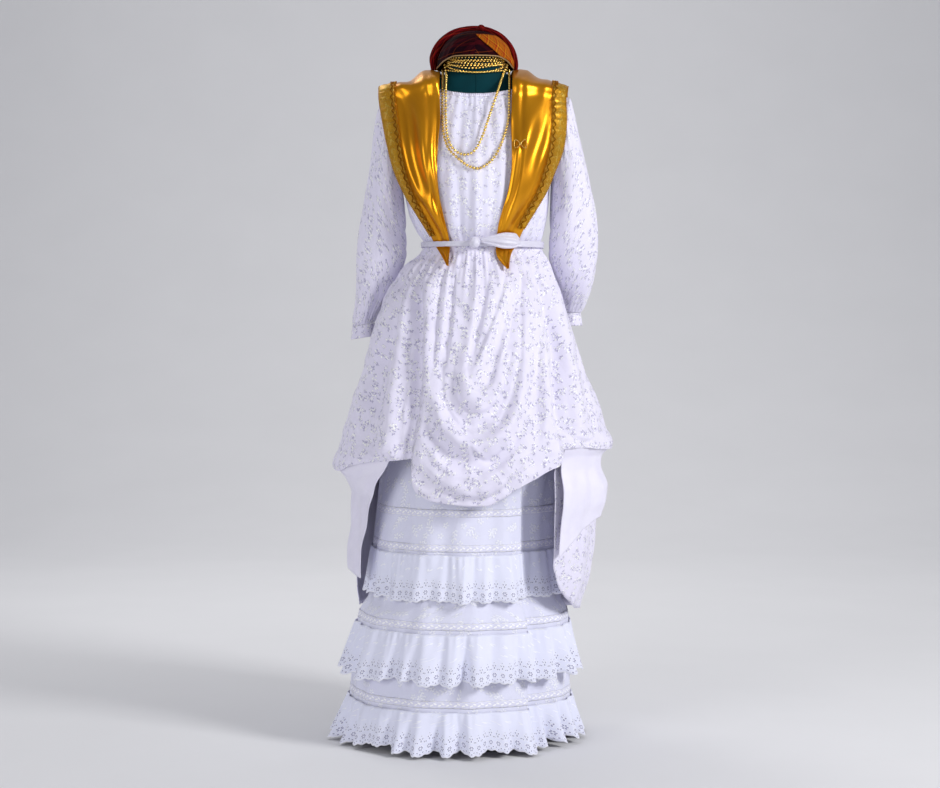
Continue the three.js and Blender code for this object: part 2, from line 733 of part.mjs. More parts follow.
// Cascades: the overskirt's lined edges that fall from under the side puffs, wrong side out.
// A cascade is sewn on inside the puff's hem and then runs down to its own slanting lower edge.
const tuckGap = 1.9;
const leftCascade = {
  sections: tableOf(
    ["z", "left", "right", "front", "back"],
    [335, 262, 262, 232, 300],
    [374, 268, 268, 232, 300],
    [397, 268, 268, 230, 300],
    [458, 260, 260, 228, 300],
    [517, 260, 260, 226, 300],
    [545, 272, 272, 226, 300],
    [572, 281, 281, 219, 300],
    [600, 276, 276, 215, 300],
  ),
  edges: tableOf(["v", "from", "to"], [0, -99, -43], [0.3, -99, -57], [0.6, -97, -64], [1, -93, -70]),
  top: (angle) => frontHem(angle).z + 9,
  bottom: tableOf(["angle", "z"], [-99, 372], [-84, 360], [-70, 345], [-43, 340]),
};
const rightCascade = {
  sections: tableOf(
    ["z", "left", "right", "front", "back"],
    [400, 257, 257, 224, 300],
    [443, 258, 258, 224, 300],
    [471, 262, 262, 225, 300],
    [506, 274, 274, 226, 300],
    [532, 276, 276, 226, 300],
    [575, 262, 262, 222, 300],
    [612, 268, 268, 220, 300],
    [640, 262, 262, 214, 300],
  ),
  edges: tableOf(["v", "from", "to"], [0, 46, 98], [0.5, 45, 97], [1, 44, 95]),
  top: (angle) => frontHem(angle).z + 5,
  bottom: tableOf(["angle", "z"], [44, 398], [55, 432], [66, 454], [76, 470], [98, 484]),
};
function addCascade(name, cascade, folds) {
  addPiece(
    name,
    clothWall(
      (u, v) => {
        const { from, to } = cascade.edges(v);
        const angle = mix(from, to, u);
        const z = mix(cascade.top(angle), cascade.bottom(angle).z, v);
        const wave = Math.cos(degrees(folds.waves * angle) + folds.phase);
        const ripple = folds.depth * smooth(0.1, 0.5, v) * wave;
        const own = polar(degrees(angle), sectionRadius(cascade.sections(z), degrees(angle)) + ripple, z);
        const sewnOn = skirtPoint(degrees(angle), z, -clothThickness - tuckGap);
        return own.lerp(sewnOn, 1 - smooth(0, 0.14, v));
      },
      { columns: 12, rows: 7 },
    ),
    liningCloth,
  );
}
addCascade("cascade_left", leftCascade, { depth: 4, waves: 13, phase: 0.6 });
addCascade("cascade_right", rightCascade, { depth: 4, waves: 12, phase: 2.4 });

// Foulard: a satin triangle over the shoulders, its two points tucked into the belt.
// The drape is the surface that it lies on: the bodice, the sleeve heads and the top of the skirt, moved out.
const drapeSections = tableOf(
  ["z", "left", "right", "front", "back", "squareness"],
  [975, 168, 170, 146, 150, 2.1],
  [995, 154, 162, 133, 140, 2.1],
  [1012, 128, 148, 121, 130, 2.1],
  [1024, 115, 138, 112.5, 118, 2.1],
  [1034, 112, 134, 109, 112, 2.1],
  [1050, 118, 140, 113, 110, 2.1],
  [1075, 136, 150, 124, 114, 2.1],
  [1100, 150, 155, 133, 118, 2.1],
  [1160, 180, 178, 139.5, 124, 2.3],
  [1212, 195, 192, 139, 127, 2.4],
  [1275, 205, 201, 121, 125, 2.5],
  [1322, 207, 203, 99.5, 114, 2.5],
  [1350, 205, 200, 88, 104, 2.5],
  [1363, 201, 192, 86, 100, 2.5],
  [1370, 172, 172, 84, 97, 2.5],
  [1379, 137, 143, 82, 94, 2.5],
  [1386, 118, 124, 80, 91, 2.5],
  [1392, 102, 108, 79, 89, 2.5],
  [1396, 88, 92, 78, 88, 2.5],
  [1398, 78, 78, 76, 87, 2.5],
);
const ridge = [1398, 1396, 1392, 1386, 1379, 1370, 1363].map((z) => ({ z, ...drapeSections(z) }));
function ridgeHeight(x) {
  const side = x < 0 ? "left" : "right";
  const reach = Math.abs(x);
  for (let i = 0; i < ridge.length - 1; i += 1) {
    const [near, far] = [ridge[i], ridge[i + 1]];
    const share = (reach - near[side]) / (far[side] - near[side]);
    if (reach <= far[side]) return mix(near.z, far.z, clamp01(share));
  }
  return ridge[ridge.length - 1].z;
}
// facing is -1 in front, 1 behind and 0 on the shoulder line.
function drapePoint(x, z, facing) {
  if (facing === 0) return new THREE.Vector3(x, 4, ridgeHeight(x));
  const section = drapeSections(z);
  const halfWidth = x < 0 ? section.left : section.right;
  const share = Math.min(1, Math.abs(x) / halfWidth);
  const { squareness } = section;
  const depth = (facing < 0 ? section.front : section.back) * (1 - share ** squareness) ** (1 / squareness);
  return new THREE.Vector3(x, facing * depth, z);
}
// Rows across the foulard, from the point tucked in at the left front, over both shoulders, to the right one.
const foulardColumns = ["innerX", "innerZ", "outerX", "outerZ", "facing"];
const foulardRows = [
  [-57, 990, -61, 992, -1],
  [-55, 1012, -73, 1014, -1],
  [-54, 1032, -84, 1032, -1],
  [-58, 1056, -94, 1052, -1],
  [-67, 1092, -118, 1090, -1],
  [-75, 1135, -144, 1132, -1],
  [-79, 1185, -166, 1180, -1],
  [-78, 1235, -180, 1232, -1],
  [-74, 1285, -191, 1286, -1],
  [-74.5, 1335, -199, 1332, -1],
  [-75, 1374, -200, 1356, -1],
  [-76, 0, -201, 0, 0],
  [-72, 1395, -201, 1356, 1],
  [-64, 1395, -198, 1325, 1],
  [-54, 1395, -168, 1266, 1],
  [-36, 1396, -112, 1180, 1],
  [-18, 1397, -56, 1108, 1],
  [0, 1397, 0, 1052, 1],
  [18, 1397, 56, 1108, 1],
  [36, 1396, 112, 1180, 1],
  [54, 1395, 164, 1266, 1],
  [64, 1395, 188, 1325, 1],
  [72, 1395, 191, 1355, 1],
  [76, 0, 192, 0, 0],
  [74, 1374, 188, 1355, -1],
  [73, 1335, 184, 1334, -1],
  [71, 1285, 184, 1286, -1],
  [72, 1235, 178, 1232, -1],
  [71, 1185, 162, 1186, -1],
  [64, 1140, 144, 1143, -1],
  [54, 1105, 122, 1106, -1],
  [45, 1070, 98, 1066, -1],
  [41, 1036, 84, 1036, -1],
  [42, 1012, 72, 1014, -1],
  [62, 984, 67, 985, -1],
].map((row) => Object.fromEntries(foulardColumns.map((name, c) => [name, row[c]])));

const foulardSteps = [0, 0.27, 0.5, 0.75, 1]; // across, from the outer edge to the neck
const laceSteps = [0, 0.27];

function foulardPoint(rowIndex, fromOuter) {
  const row = foulardRows[rowIndex];
  const across = 1 - fromOuter;
  const x = mix(row.innerX, row.outerX, across);
  const point = drapePoint(x, mix(row.innerZ, row.outerZ, across), row.facing);
  const rowsLeft = foulardRows.length - rowIndex;
  const free = smooth(2, 5, rowIndex) * smooth(3, 6, rowsLeft);
  const lift = 3.2 * free * (1 - Math.cos(4 * Math.PI * across)) * smooth(0.2, 0.5, fromOuter);
  if (row.facing === 0) point.z += lift;
  else point.y += row.facing * lift;
  return point;
}
// A point out from the foulard along its own normal.
function overFoulard(rowIndex, fromOuter, out) {
  const near = Math.max(0, rowIndex - 1);
  const far = Math.min(foulardRows.length - 1, rowIndex + 1);
  const along = foulardPoint(near, fromOuter).sub(foulardPoint(far, fromOuter));
  const down = foulardPoint(rowIndex, Math.max(0, fromOuter - 0.1));
  down.sub(foulardPoint(rowIndex, Math.min(1, fromOuter + 0.1)));
  return foulardPoint(rowIndex, fromOuter).addScaledVector(along.cross(down).normalize(), out);
}
// u runs from the right front over the shoulders to the left front, and v from the neck outwards.
const lastFoulardRow = foulardRows.length - 1;
addPiece(
  "foulard",
  clothWall((u, v) => foulardPoint(Math.round(lastFoulardRow * (1 - u)), 1 - v), {
    columns: lastFoulardRow,
    steps: [...foulardSteps].reverse().map((step) => 1 - step),
    thickness: satinThickness,
  }),
  goldSatin,
);
const laceRows = { first: 3, last: lastFoulardRow - 3 };
addPiece(
  "foulard_lace",
  clothWall(
    (u, v) => {
      const row = Math.round(mix(laceRows.last, laceRows.first, u));
      return overFoulard(row, mix(laceSteps[1], laceSteps[0], v), 2.9);
    },
    { columns: laceRows.last - laceRows.first, rows: 1, thickness: 1.2 },
  ),
  goldLace,
);

// Belt: a narrow tie round the waist, knotted in front, with one flat loop over the right point.
const beltSection = { left: 115, right: 142, front: 117.6, back: 103, squareness: 2.1 };
// A point of the belt's own surface at a place across the front, moved out.
function onBelt(x, z, out) {
  const halfWidth = x < 0 ? beltSection.left : beltSection.right;
  const share = Math.abs(x) / halfWidth;
  const power = beltSection.squareness;
  const depth = beltSection.front * (1 - share ** power) ** (1 / power);
  const normal = new THREE.Vector3(
    (Math.sign(x) * share ** (power - 1)) / halfWidth,
    -((depth / beltSection.front) ** (power - 1)) / beltSection.front,
    0,
  );
  return new THREE.Vector3(x, -depth, z).addScaledVector(normal.normalize(), out);
}
addPiece(
  "belt_band",
  clothWall(
    (u, v) => {
      const angle = 2 * Math.PI * u;
      const width = mix(10, 14, (1 - Math.cos(angle + 0.6)) / 2);
      return polar(angle, sectionRadius(beltSection, angle), waistHeight + 5 + width * (0.5 - v));
    },
    { columns: 28, rows: 1, around: true, thickness: 1.6 },
  ),
  gownCloth,
);
// A soft lump: an ellipsoid that is pinched by grooves.
function lump({ centre, size, pinch, turns, columns = 9, rows = 7 }) {
  const heights = Array.from({ length: rows - 1 }, (_, j) => Math.cos((Math.PI * (j + 1)) / rows));
  const geometry = solidOfRings(
    (angle, z) => {
      const across = Math.sqrt(1 - z * z) * (1 + pinch * Math.cos(turns * angle + 2 * z));
      const [x, y] = [across * Math.sin(angle), -across * Math.cos(angle)];
      return new THREE.Vector3(size.x * x, size.y * y, size.z * z);
    },
    { columns, heights },
  );
  return geometry.translate(centre.x, centre.y, centre.z);
}
addPiece(
  "belt_knot",
  lump({
    centre: new THREE.Vector3(-3, -(beltSection.front + 6.7), waistHeight + 7),
    size: new THREE.Vector3(11, 7, 12),
    pinch: 0.1,
    turns: 3,
  }),
  gownCloth,
);
// The loop runs from the knot to the right, widest near its rounded end: from, to, and half height by share.
const loop = { from: 10, to: 86, middle: waistHeight + 11 };
const loopShape = tableOf(
  ["t", "half", "puff"],
  [0, 4.5, 5],
  [0.3, 11, 9],
  [0.65, 16.5, 11],
  [0.88, 15, 9],
  [1, 7, 5],
);
addPiece(
  "belt_loop",
  (() => {
    const columns = 10;
    const rows = 9;
    const geometry = solidOfRings(
      (angle, t) => {
        const { half, puff } = loopShape(t);
        const x = mix(loop.from, loop.to, t);
        const tall = half * Math.sin(angle);
        const thick = (0.5 + 0.5 * Math.cos(angle)) * puff * (1 + 0.12 * Math.cos(4 * angle));
        return onBelt(x, loop.middle + tall, 0.8 + thick);
      },
      { columns, heights: Array.from({ length: rows + 1 }, (_, j) => j / rows) },
    );
    return geometry;
  })(),
  gownCloth,
);

// Head tie: a folded madras square over the neck cap, with a rolled edge over it and a small knot.
const crown = { shift: -2, halfWidth: 80, front: 78, back: 79, foot: 1392, top: 1480, squareness: 2.25 };
const crownRim = tableOf(
  ["angle", "z"],
  [-180, 1399],
  [-100, 1401],
  [-75, 1403],
  [-55, 1413],
  [-32, 1421],
  [0, 1421],
  [34, 1421],
  [56, 1414],
  [76, 1403],
  [100, 1401],
  [180, 1399],
);
function crownPoint(angle, z, out = 0) {
  const up = clamp01((z - crown.foot) / (crown.top - crown.foot));
  const shrink = (1 - up ** crown.squareness) ** (1 / crown.squareness);
  const sides = { left: crown.halfWidth, right: crown.halfWidth, front: crown.front, back: crown.back };
  return polar(angle, sectionRadius(sides, angle) * shrink + out, z, crown.shift);
}
function domeWall(point, { columns, rows, thickness }) {
  const turns = Array.from({ length: columns }, (_, i) => (2 * Math.PI * i) / columns);
  const ring = (t, inset) => turns.map((angle) => point(angle, t, inset));
  const levels = Array.from({ length: rows }, (_, j) => (j + 1) / rows);
  const points = [point(0, 0, 0), ...levels.flatMap((t) => ring(t, 0))];
  const insideStart = points.length;
  points.push(point(0, 0, thickness), ...levels.flatMap((t) => ring(t, thickness)));
  const at = (start, i, j) => start + 1 + j * columns + (i % columns);
  const triangles = [];
  for (let i = 0; i < columns; i += 1) {
    triangles.push(0, at(0, i, 0), at(0, i + 1, 0));
    triangles.push(insideStart, at(insideStart, i + 1, 0), at(insideStart, i, 0));
    for (let j = 0; j < rows - 1; j += 1) {
      const outer = [at(0, i, j), at(0, i, j + 1), at(0, i + 1, j + 1), at(0, i + 1, j)];
      const inner = [0, 3, 2, 1].map((k) => insideStart + outer[k]);
      [outer, inner].forEach(([a, b, c, d]) => triangles.push(a, b, c, a, c, d));
    }
    const [a, b] = [at(0, i, rows - 1), at(0, i + 1, rows - 1)];
    triangles.push(a, insideStart + a, insideStart + b, a, insideStart + b, b);
  }
  return geometryOf(points, triangles);
}
addPiece(
  "head_tie_crown",
  domeWall(
    (angle, t, inset) => {
      const rim = crownRim((wrapped(angle) * 180) / Math.PI).z;
      const top = crown.top;
      const z = top - (top - rim) * (1 - Math.cos((Math.PI / 2) * t)) ** 0.8;
      const up = clamp01((z - crown.foot) / (top - crown.foot));
      const pleats = 1.4 * smooth(0, 0.4, t) * Math.cos(9 * angle) * (1 - smooth(0.75, 1, t));
      const shrunk = crownPoint(angle, z, pleats * Math.sqrt(1 - up));
      if (inset === 0) return shrunk;
      const inward = shrunk.clone().sub(new THREE.Vector3(crown.shift, 0, crown.foot));
      inward.divide(new THREE.Vector3(crown.halfWidth ** 2, crown.front ** 2, (top - crown.foot) ** 2));
      return shrunk.addScaledVector(inward.normalize(), -inset);
    },
    { columns: 20, rows: 6, thickness: clothThickness },
  ),
  madrasCloth,
);

// The roll is a tube that follows the crown from its left foot over the top to its right foot.
const roll = { from: -85, to: 86, depth: 10, columns: 8, steps: 18 };
const rollRadius = tableOf(
  ["turn", "r"],
  [-85, 6],
  [-70, 9],
  [-40, 7.6],
  [0, 5.6],
  [50, 6],
  [80, 5.4],
  [86, 4],
);
addPiece(
  "head_tie_roll",
  (() => {
    const length = roll.steps + 1;
    const heights = Array.from({ length }, (_, j) => mix(roll.from, roll.to, j / roll.steps));
    return solidOfRings(
      (angle, turnDegrees) => {
        const turn = degrees(turnDegrees);
        const { r } = rollRadius(turnDegrees);
        const size = r * (1 + 0.06 * Math.cos(3 * angle + turnDegrees / 9));
        const power = crown.squareness;
        const [across, up] = [Math.sin(turn), Math.cos(turn)];
        const spread = (Math.abs(across) ** power + Math.abs(up) ** power) ** (-1 / power);
        const reach = new THREE.Vector3(across * crown.halfWidth, 0, up * (crown.top - crown.foot));
        const out = new THREE.Vector3(across, 0, up);
        const centre = new THREE.Vector3(crown.shift, roll.depth, crown.foot);
        centre.addScaledVector(reach, spread).addScaledVector(out, r * 1.06 + 0.35);
        centre.addScaledVector(out, size * Math.cos(angle));
        centre.y += size * Math.sin(angle);
        return centre;
      },
      { columns: roll.columns, heights },
    );
  })(),
  madrasCloth,
);
addPiece(
  "head_tie_knot",
  lump({
    centre: new THREE.Vector3(10, -9, 1485.2),
    size: new THREE.Vector3(7.5, 8, 7),
    pinch: 0.14,
    turns: 3,
    columns: 8,
    rows: 6,
  }),
  madrasCloth,
);

// Necklaces: collars of beads round the neck and two long strands down the front.
const beadRadius = 2.4;
const collars = {
  collar_first: [1419, 1424],
  collar_second: [1411, 1418],
  collar_third: [1402, 1412],
  collar_fourth: [1388, 1406],
}; // each collar's heights in front and behind
const neckAt = (angle, z, out) => polar(angle, sectionRadius(formSections(z), angle) + out, z);
Object.entries(collars).forEach(([name, [front, back]]) => {
  const points = Array.from({ length: 24 }, (_, i) => {
    const angle = (2 * Math.PI * i) / 24;
    const z = mix(back, front, ((1 + Math.cos(angle)) / 2) ** 1.5);
    const overRowAbove = 1.6 * smooth(1424, 1408, back) + 0.9 * smooth(1416, 1424, back);
    return neckAt(angle, z, beadRadius + overRowAbove);
  });
  const curve = new THREE.CatmullRomCurve3(points, true);
  addPiece(`necklace_${name}`, closedStrand(curve, beadRadius, 20), goldBead);
});
// The depth of the gown or the form at a point of the front.
function frontDepth(x, z) {
  const depths = [formSections, bodiceSections]
    .filter((sections, i) => i === 0 || z < neckSideHeight - 30)
    .map((sections) => {
      const section = sections(Math.max(z, bodiceBottom));
      const share = Math.abs(x) / (x < 0 ? section.left : section.right);
      return share >= 1 ? 0 : section.front * (1 - share ** section.squareness) ** (1 / section.squareness);
    });
  return Math.max(...depths);
}
// Each long strand: its points down the front across (x) and up (z), and how far it lies off the gown.
const longStrands = {
  necklace_long_inner: {
    out: 11.4,
    neckHeight: 1410,
    sides: 75,
    line: [
      [-62, 1390], [-62, 1350], [-62, 1300], [-60, 1262], [-52, 1234], [-36, 1217], [-16, 1214],
      [0, 1226], [12, 1250], [21, 1276], [30, 1304], [43, 1343], [57, 1388],
    ],
  },
  necklace_long_outer: {
    out: 5,
    neckHeight: 1402,
    sides: 95,
    line: [
      [-69, 1390], [-69, 1375], [-69, 1358], [-69, 1340], [-69, 1300], [-66, 1258], [-58, 1230],
      [-43, 1212], [-18, 1192], [4, 1186], [24, 1196], [40, 1214], [56, 1250], [66, 1291],
      [68, 1340], [68.5, 1360], [68.5, 1376], [68.5, 1390],
    ],
  },
};
Object.entries(longStrands).forEach(([name, { out, neckHeight, sides, line }]) => {
  const turns = [sides, 112, 135, 158, 180, 202, 225, 248, 360 - sides];
  const around = turns.map((turn) => neckAt(degrees(turn), neckHeight, 10));
  const front = line.map(([x, z]) => {
    const onNeck = -(Math.sqrt(Math.max(0, 68 ** 2 - x * x)) * 0.5 + 14);
    const onGown = -(frontDepth(x, Math.min(z, 1345)) + out);
    const hanging = mix(onGown, onNeck, smooth(1345, 1400, z));
    return new THREE.Vector3(x, Math.min(hanging, -(frontDepth(x, z) + 4.5)), z);
  });
  const curve = new THREE.CatmullRomCurve3([...front, ...around], true);
  addPiece(name, closedStrand(curve, beadRadius, 42), goldBead);
});

// Brooch: a small bow on the right front of the foulard.
const brooch = {
  row: 27, fromNeck: 0.83, out: 5.6,
  halfWidth: 13, halfHeight: 14, waist: 0.35, thickness: 2.4,
};
addPiece(
  "brooch",
  (() => {
    const outline = Array.from({ length: 24 }, (_, i) => {
      const turn = (2 * Math.PI * i) / 24;
      const pinched = brooch.waist + (1 - brooch.waist) * Math.cos(turn) ** 2;
      const high = brooch.halfHeight * Math.sin(turn) * pinched;
      return new THREE.Vector2(brooch.halfWidth * Math.cos(turn), high);
    });
    const geometry = new THREE.ExtrudeGeometry(new THREE.Shape(outline), {
      depth: brooch.thickness,
      bevelEnabled: false,
    });
    const base = overFoulard(brooch.row, brooch.fromNeck, brooch.out);
    const facing = overFoulard(brooch.row, brooch.fromNeck, brooch.out + 1).sub(base);
    const across = new THREE.Vector3(-facing.y, facing.x, 0).normalize();
    const up = facing.clone().cross(across);
    return geometry.applyMatrix4(new THREE.Matrix4().makeBasis(across, up, facing).setPosition(base));
  })(),
  goldBead,
);

export default garment;
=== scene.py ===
import math

import bmesh
import bpy
import numpy as np
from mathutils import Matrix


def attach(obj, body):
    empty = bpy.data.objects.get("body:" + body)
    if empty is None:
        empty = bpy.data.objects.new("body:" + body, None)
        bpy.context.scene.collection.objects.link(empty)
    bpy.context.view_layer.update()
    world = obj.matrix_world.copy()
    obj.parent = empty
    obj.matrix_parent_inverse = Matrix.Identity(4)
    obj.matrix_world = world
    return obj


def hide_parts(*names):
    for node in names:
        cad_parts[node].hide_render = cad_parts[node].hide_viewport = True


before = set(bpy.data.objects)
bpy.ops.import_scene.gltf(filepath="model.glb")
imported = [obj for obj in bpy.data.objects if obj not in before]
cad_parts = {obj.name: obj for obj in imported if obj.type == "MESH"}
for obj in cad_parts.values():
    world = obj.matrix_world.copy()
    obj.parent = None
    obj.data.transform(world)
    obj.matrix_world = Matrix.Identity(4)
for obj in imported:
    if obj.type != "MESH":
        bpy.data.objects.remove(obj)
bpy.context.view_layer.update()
print("frame loaded")

# Everything is worked out in millimetres and put into the meshes in metres. The front faces -Y, +X is the
# viewer's right, and an angle of 0 looks to the front, 90 degrees to +X. Grids have rows that run down and
# columns that run anticlockwise seen from above.
mm = 0.001
turn = 2 * math.pi


def mix(a, b, t):
    return a + (b - a) * t


# 0 before start, 1 after end, and a smooth step between
def smooth(start, end, value):
    t = np.clip((np.asarray(value, float) - start) / (end - start), 0, 1)
    return t * t * (3 - 2 * t)


# exp(-(d / w)^2)
def bell(distance, width):
    return np.exp(-((distance / width) ** 2))


# Smooth curves through rows sorted by their first column, monotone between neighbours. The result has one
# last axis with the other columns.
def curveOf(*rows):
    table = np.array(sorted(rows), float)
    keys, values = table[:, 0], table[:, 1:]
    slope = np.diff(values, axis=0) / np.diff(keys)[:, None]
    product, total = slope[:-1] * slope[1:], slope[:-1] + slope[1:]
    middle = np.where(product > 0, 2 * product / np.where(total == 0, 1, total), 0)
    tangent = np.vstack([slope[:1], middle, slope[-1:]])

    def at(key):
        key = np.asarray(key, float)
        i = np.clip(np.searchsorted(keys, key, side="right") - 1, 0, len(keys) - 2)
        span = (keys[i + 1] - keys[i])[..., None]
        t = np.clip((key - keys[i]) / span[..., 0], 0, 1)[..., None]
        ends = (2 * t**3 - 3 * t**2 + 1) * values[i] + (3 * t**2 - 2 * t**3) * values[i + 1]
        return ends + span * ((t**3 - 2 * t**2 + t) * tangent[i] + (t**3 - t**2) * tangent[i + 1])

    return at


# Distance from the axis to a horizontal section's edge: a superellipse with its own half widths to the left
# and right and half depths to the front and back.
def sectionRadius(section, angle):
    across, ahead = np.sin(angle), np.cos(angle)
    power = section[..., 4] if section.shape[-1] > 4 else 2.0
    width = np.where(across < 0, section[..., 0], section[..., 1])
    depth = np.where(ahead > 0, section[..., 2], section[..., 3])
    return ((np.abs(across) / width) ** power + (np.abs(ahead) / depth) ** power) ** (-1 / power)


def polar(angle, radius, z, shift=0.0):
    x, y = shift + radius * np.sin(angle), -radius * np.cos(angle)
    return np.stack(np.broadcast_arrays(x, y, z), -1).astype(float)


# Soft uneven creases: the sum of a few sine waves over the root of their number, with directions that lie
# within spread radians of the first axis
def creases(a, b, seed, length, spread=0.5, count=5):
    chance = np.random.default_rng(seed)
    total = 0
    for _ in range(count):
        lean, phase = chance.uniform(-spread, spread), chance.uniform(0, turn)
        size = length * chance.uniform(0.6, 1.6)
        total = total + np.sin((a * math.cos(lean) + b * math.sin(lean)) * turn / size + phase)
    return total / math.sqrt(count)


# A smooth line through points (Catmull-Rom), with steps points between each two; loop joins the ends
def lineThrough(points, steps, loop=False):
    p = np.array(points, float)
    count = len(p) if loop else len(p) - 1
    if loop:
        p = np.vstack([p[-1:], p, p[:2]])
    else:
        p = np.vstack([2 * p[:1] - p[1:2], p, 2 * p[-1:] - p[-2:-1]])
    t = (np.arange(steps) / steps).reshape((1, steps) + (1,) * (p.ndim - 1))
    a, b, c, d = (p[k : k + count][:, None] for k in range(4))
    line = 0.5 * (2 * b + (c - a) * t + (2 * a - 5 * b + 4 * c - d) * t**2 + (3 * b - a - 3 * c + d) * t**3)
    line = line.reshape((count * steps,) + p.shape[1:])
    return line if loop else np.concatenate([line, p[-2:-1]])


# The depth of folds that each follow a line: depth * bell(distance to the line, width), faded at both ends.
# steep below 1 narrows the bell on the line's left and widens it on the right, like cloth that laps over.
def foldDepth(folds, x, z, steep=1.0):
    total = np.zeros(np.broadcast(x, z).shape)
    for depth, width, points in folds:
        line = lineThrough(points, 4)
        best = np.full(total.shape, 1e9)
        along, side = np.zeros(total.shape), np.zeros(total.shape)
        for k in range(len(line) - 1):
            dx, dz = line[k + 1] - line[k]
            t = np.clip(((x - line[k][0]) * dx + (z - line[k][1]) * dz) / (dx * dx + dz * dz), 0, 1)
            distance = np.hypot(x - line[k][0] - t * dx, z - line[k][1] - t * dz)
            along = np.where(distance < best, (k + t) / (len(line) - 1), along)
            side = np.where(distance < best, dx * (z - line[k][1]) - dz * (x - line[k][0]), side)
            best = np.minimum(best, distance)
        lapped = bell(best, width * np.where(side > 0, steep, 2 - steep))
        total += depth * lapped * smooth(-0.05, 0.3, along) * (1 - smooth(0.75, 1.2, along))
    return total


# polygons is a list of index arrays, each (n, 3) or (n, 4); uvs maps a layer's name to (corner, 2) arrays
def meshOf(name, points, polygons, uvs=None, parts=None):
    mesh = bpy.data.meshes.new(name)
    corners = np.concatenate([p.ravel() for p in polygons]).astype(np.int32)
    sizes = np.concatenate([np.full(len(p), p.shape[1]) for p in polygons]).astype(np.int32)
    mesh.vertices.add(len(points))
    mesh.vertices.foreach_set("co", (np.asarray(points, float) * mm).ravel())
    mesh.loops.add(len(corners))
    mesh.loops.foreach_set("vertex_index", corners)
    mesh.polygons.add(len(sizes))
    mesh.polygons.foreach_set("loop_start", np.concatenate([[0], np.cumsum(sizes)[:-1]]).astype(np.int32))
    mesh.polygons.foreach_set("use_smooth", np.ones(len(sizes), bool))
    if parts is not None:
        mesh.polygons.foreach_set("material_index", parts.astype(np.int32))
    for layer, values in (uvs or {}).items():
        mesh.uv_layers.new(name=layer).data.foreach_set("uv", values.astype(np.float32).ravel())
    mesh.update(calc_edges=True)
    mesh.validate()
    piece = bpy.data.objects.new(name, mesh)
    bpy.context.scene.collection.objects.link(piece)
    return piece


# A closed cloth shell over a grid of outer points: the inner layer lies one thickness inside along the
# normals. Layer "cloth" holds arc lengths across and down in metres, and layer "edge" the pattern phase
# along the hem (or the arc length) and the arc length up from the hem.
def clothShell(name, outer, thickness=1.0, around=False, phase=None):
    rows, columns = outer.shape[:2]
    along = np.roll(outer, -1, 1) - np.roll(outer, 1, 1) if around else np.gradient(outer, axis=1)
    normal = np.cross(np.gradient(outer, axis=0), along)
    normal /= np.maximum(np.linalg.norm(normal, axis=2, keepdims=True), 1e-9)
    points = np.concatenate([outer.reshape(-1, 3), (outer - thickness * normal).reshape(-1, 3)])
    wide = np.concatenate([outer, outer[:, :1]], 1) if around else outer
    across = np.cumsum(np.linalg.norm(np.diff(wide, axis=1), axis=2), 1)
    across = np.concatenate([np.zeros((rows, 1)), across], 1)
    across -= across[:, wide.shape[1] // 2][:, None]
    down = np.cumsum(np.linalg.norm(np.diff(wide, axis=0), axis=2), 0)
    down = np.concatenate([np.zeros((1, wide.shape[1])), down])
    hemPhase = across * mm if phase is None else np.broadcast_to(phase, wide.shape[:2])
    cloth = np.stack([across, down], -1) * mm
    edge = np.stack([hemPhase, (down[-1:] - down) * mm], -1)

    def quads(r, c, corners):
        flat = []
        for dr, dc, side in corners:
            flat.append(np.stack([r.ravel() + dr, c.ravel() + dc, np.full(r.size, side)], 1))
        return np.stack(flat, 1)

    spans = columns if around else columns - 1
    r, c = np.meshgrid(np.arange(rows - 1), np.arange(spans), indexing="ij")
    i, zero = np.arange(spans), np.zeros(spans, int)
    groups = [
        quads(r, c, [(0, 0, 0), (1, 0, 0), (1, 1, 0), (0, 1, 0)]),
        quads(r, c, [(0, 0, 1), (0, 1, 1), (1, 1, 1), (1, 0, 1)]),
        quads(zero, i, [(0, 0, 0), (0, 1, 0), (0, 1, 1), (0, 0, 1)]),
        quads(zero + rows - 1, i, [(0, 0, 0), (0, 0, 1), (0, 1, 1), (0, 1, 0)]),
    ]
    if not around:
        j, zero = np.arange(rows - 1), np.zeros(rows - 1, int)
        groups.append(quads(j, zero, [(1, 0, 0), (0, 0, 0), (0, 0, 1), (1, 0, 1)]))
        groups.append(quads(j, zero + columns - 1, [(0, 0, 0), (1, 0, 0), (1, 0, 1), (0, 0, 1)]))
    corners = np.concatenate(groups)
    index = corners[..., 2] * rows * columns + corners[..., 0] * columns + corners[..., 1] % columns
    place = (corners[..., 0], corners[..., 1])
    parts = np.concatenate([np.full(len(g), 1 if k == 1 else 0) for k, g in enumerate(groups)])
    uvs = {"cloth": cloth[place].reshape(-1, 2), "edge": edge[place].reshape(-1, 2)}
    return meshOf(name, points, [index], uvs, parts)


# A closed solid of rings from top to bottom with a fan at each end
def ringSolid(name, rings):
    rows, columns = rings.shape[:2]
    points = np.concatenate([rings.reshape(-1, 3), rings[0].mean(0)[None], rings[-1].mean(0)[None]])
    r, c = (g.ravel() for g in np.meshgrid(np.arange(rows - 1), np.arange(columns), indexing="ij"))
    n = (c + 1) % columns
    sides = np.stack([r * columns + c, (r + 1) * columns + c, (r + 1) * columns + n, r * columns + n], 1)
    i = np.arange(columns)
    n = (i + 1) % columns
    last, top = (rows - 1) * columns, rows * columns
    fanTop = np.stack([np.full(columns, top), i, n], 1)
    fanLow = np.stack([np.full(columns, top + 1), last + n, last + i], 1)
    polygons = [sides, fanTop, fanLow]
    plain = np.concatenate([p.ravel() for p in polygons])
    uv = np.stack([(plain % columns) / columns, (plain // columns) / rows], 1) * 0.3
    return meshOf(name, points, polygons, {"cloth": uv, "edge": uv})


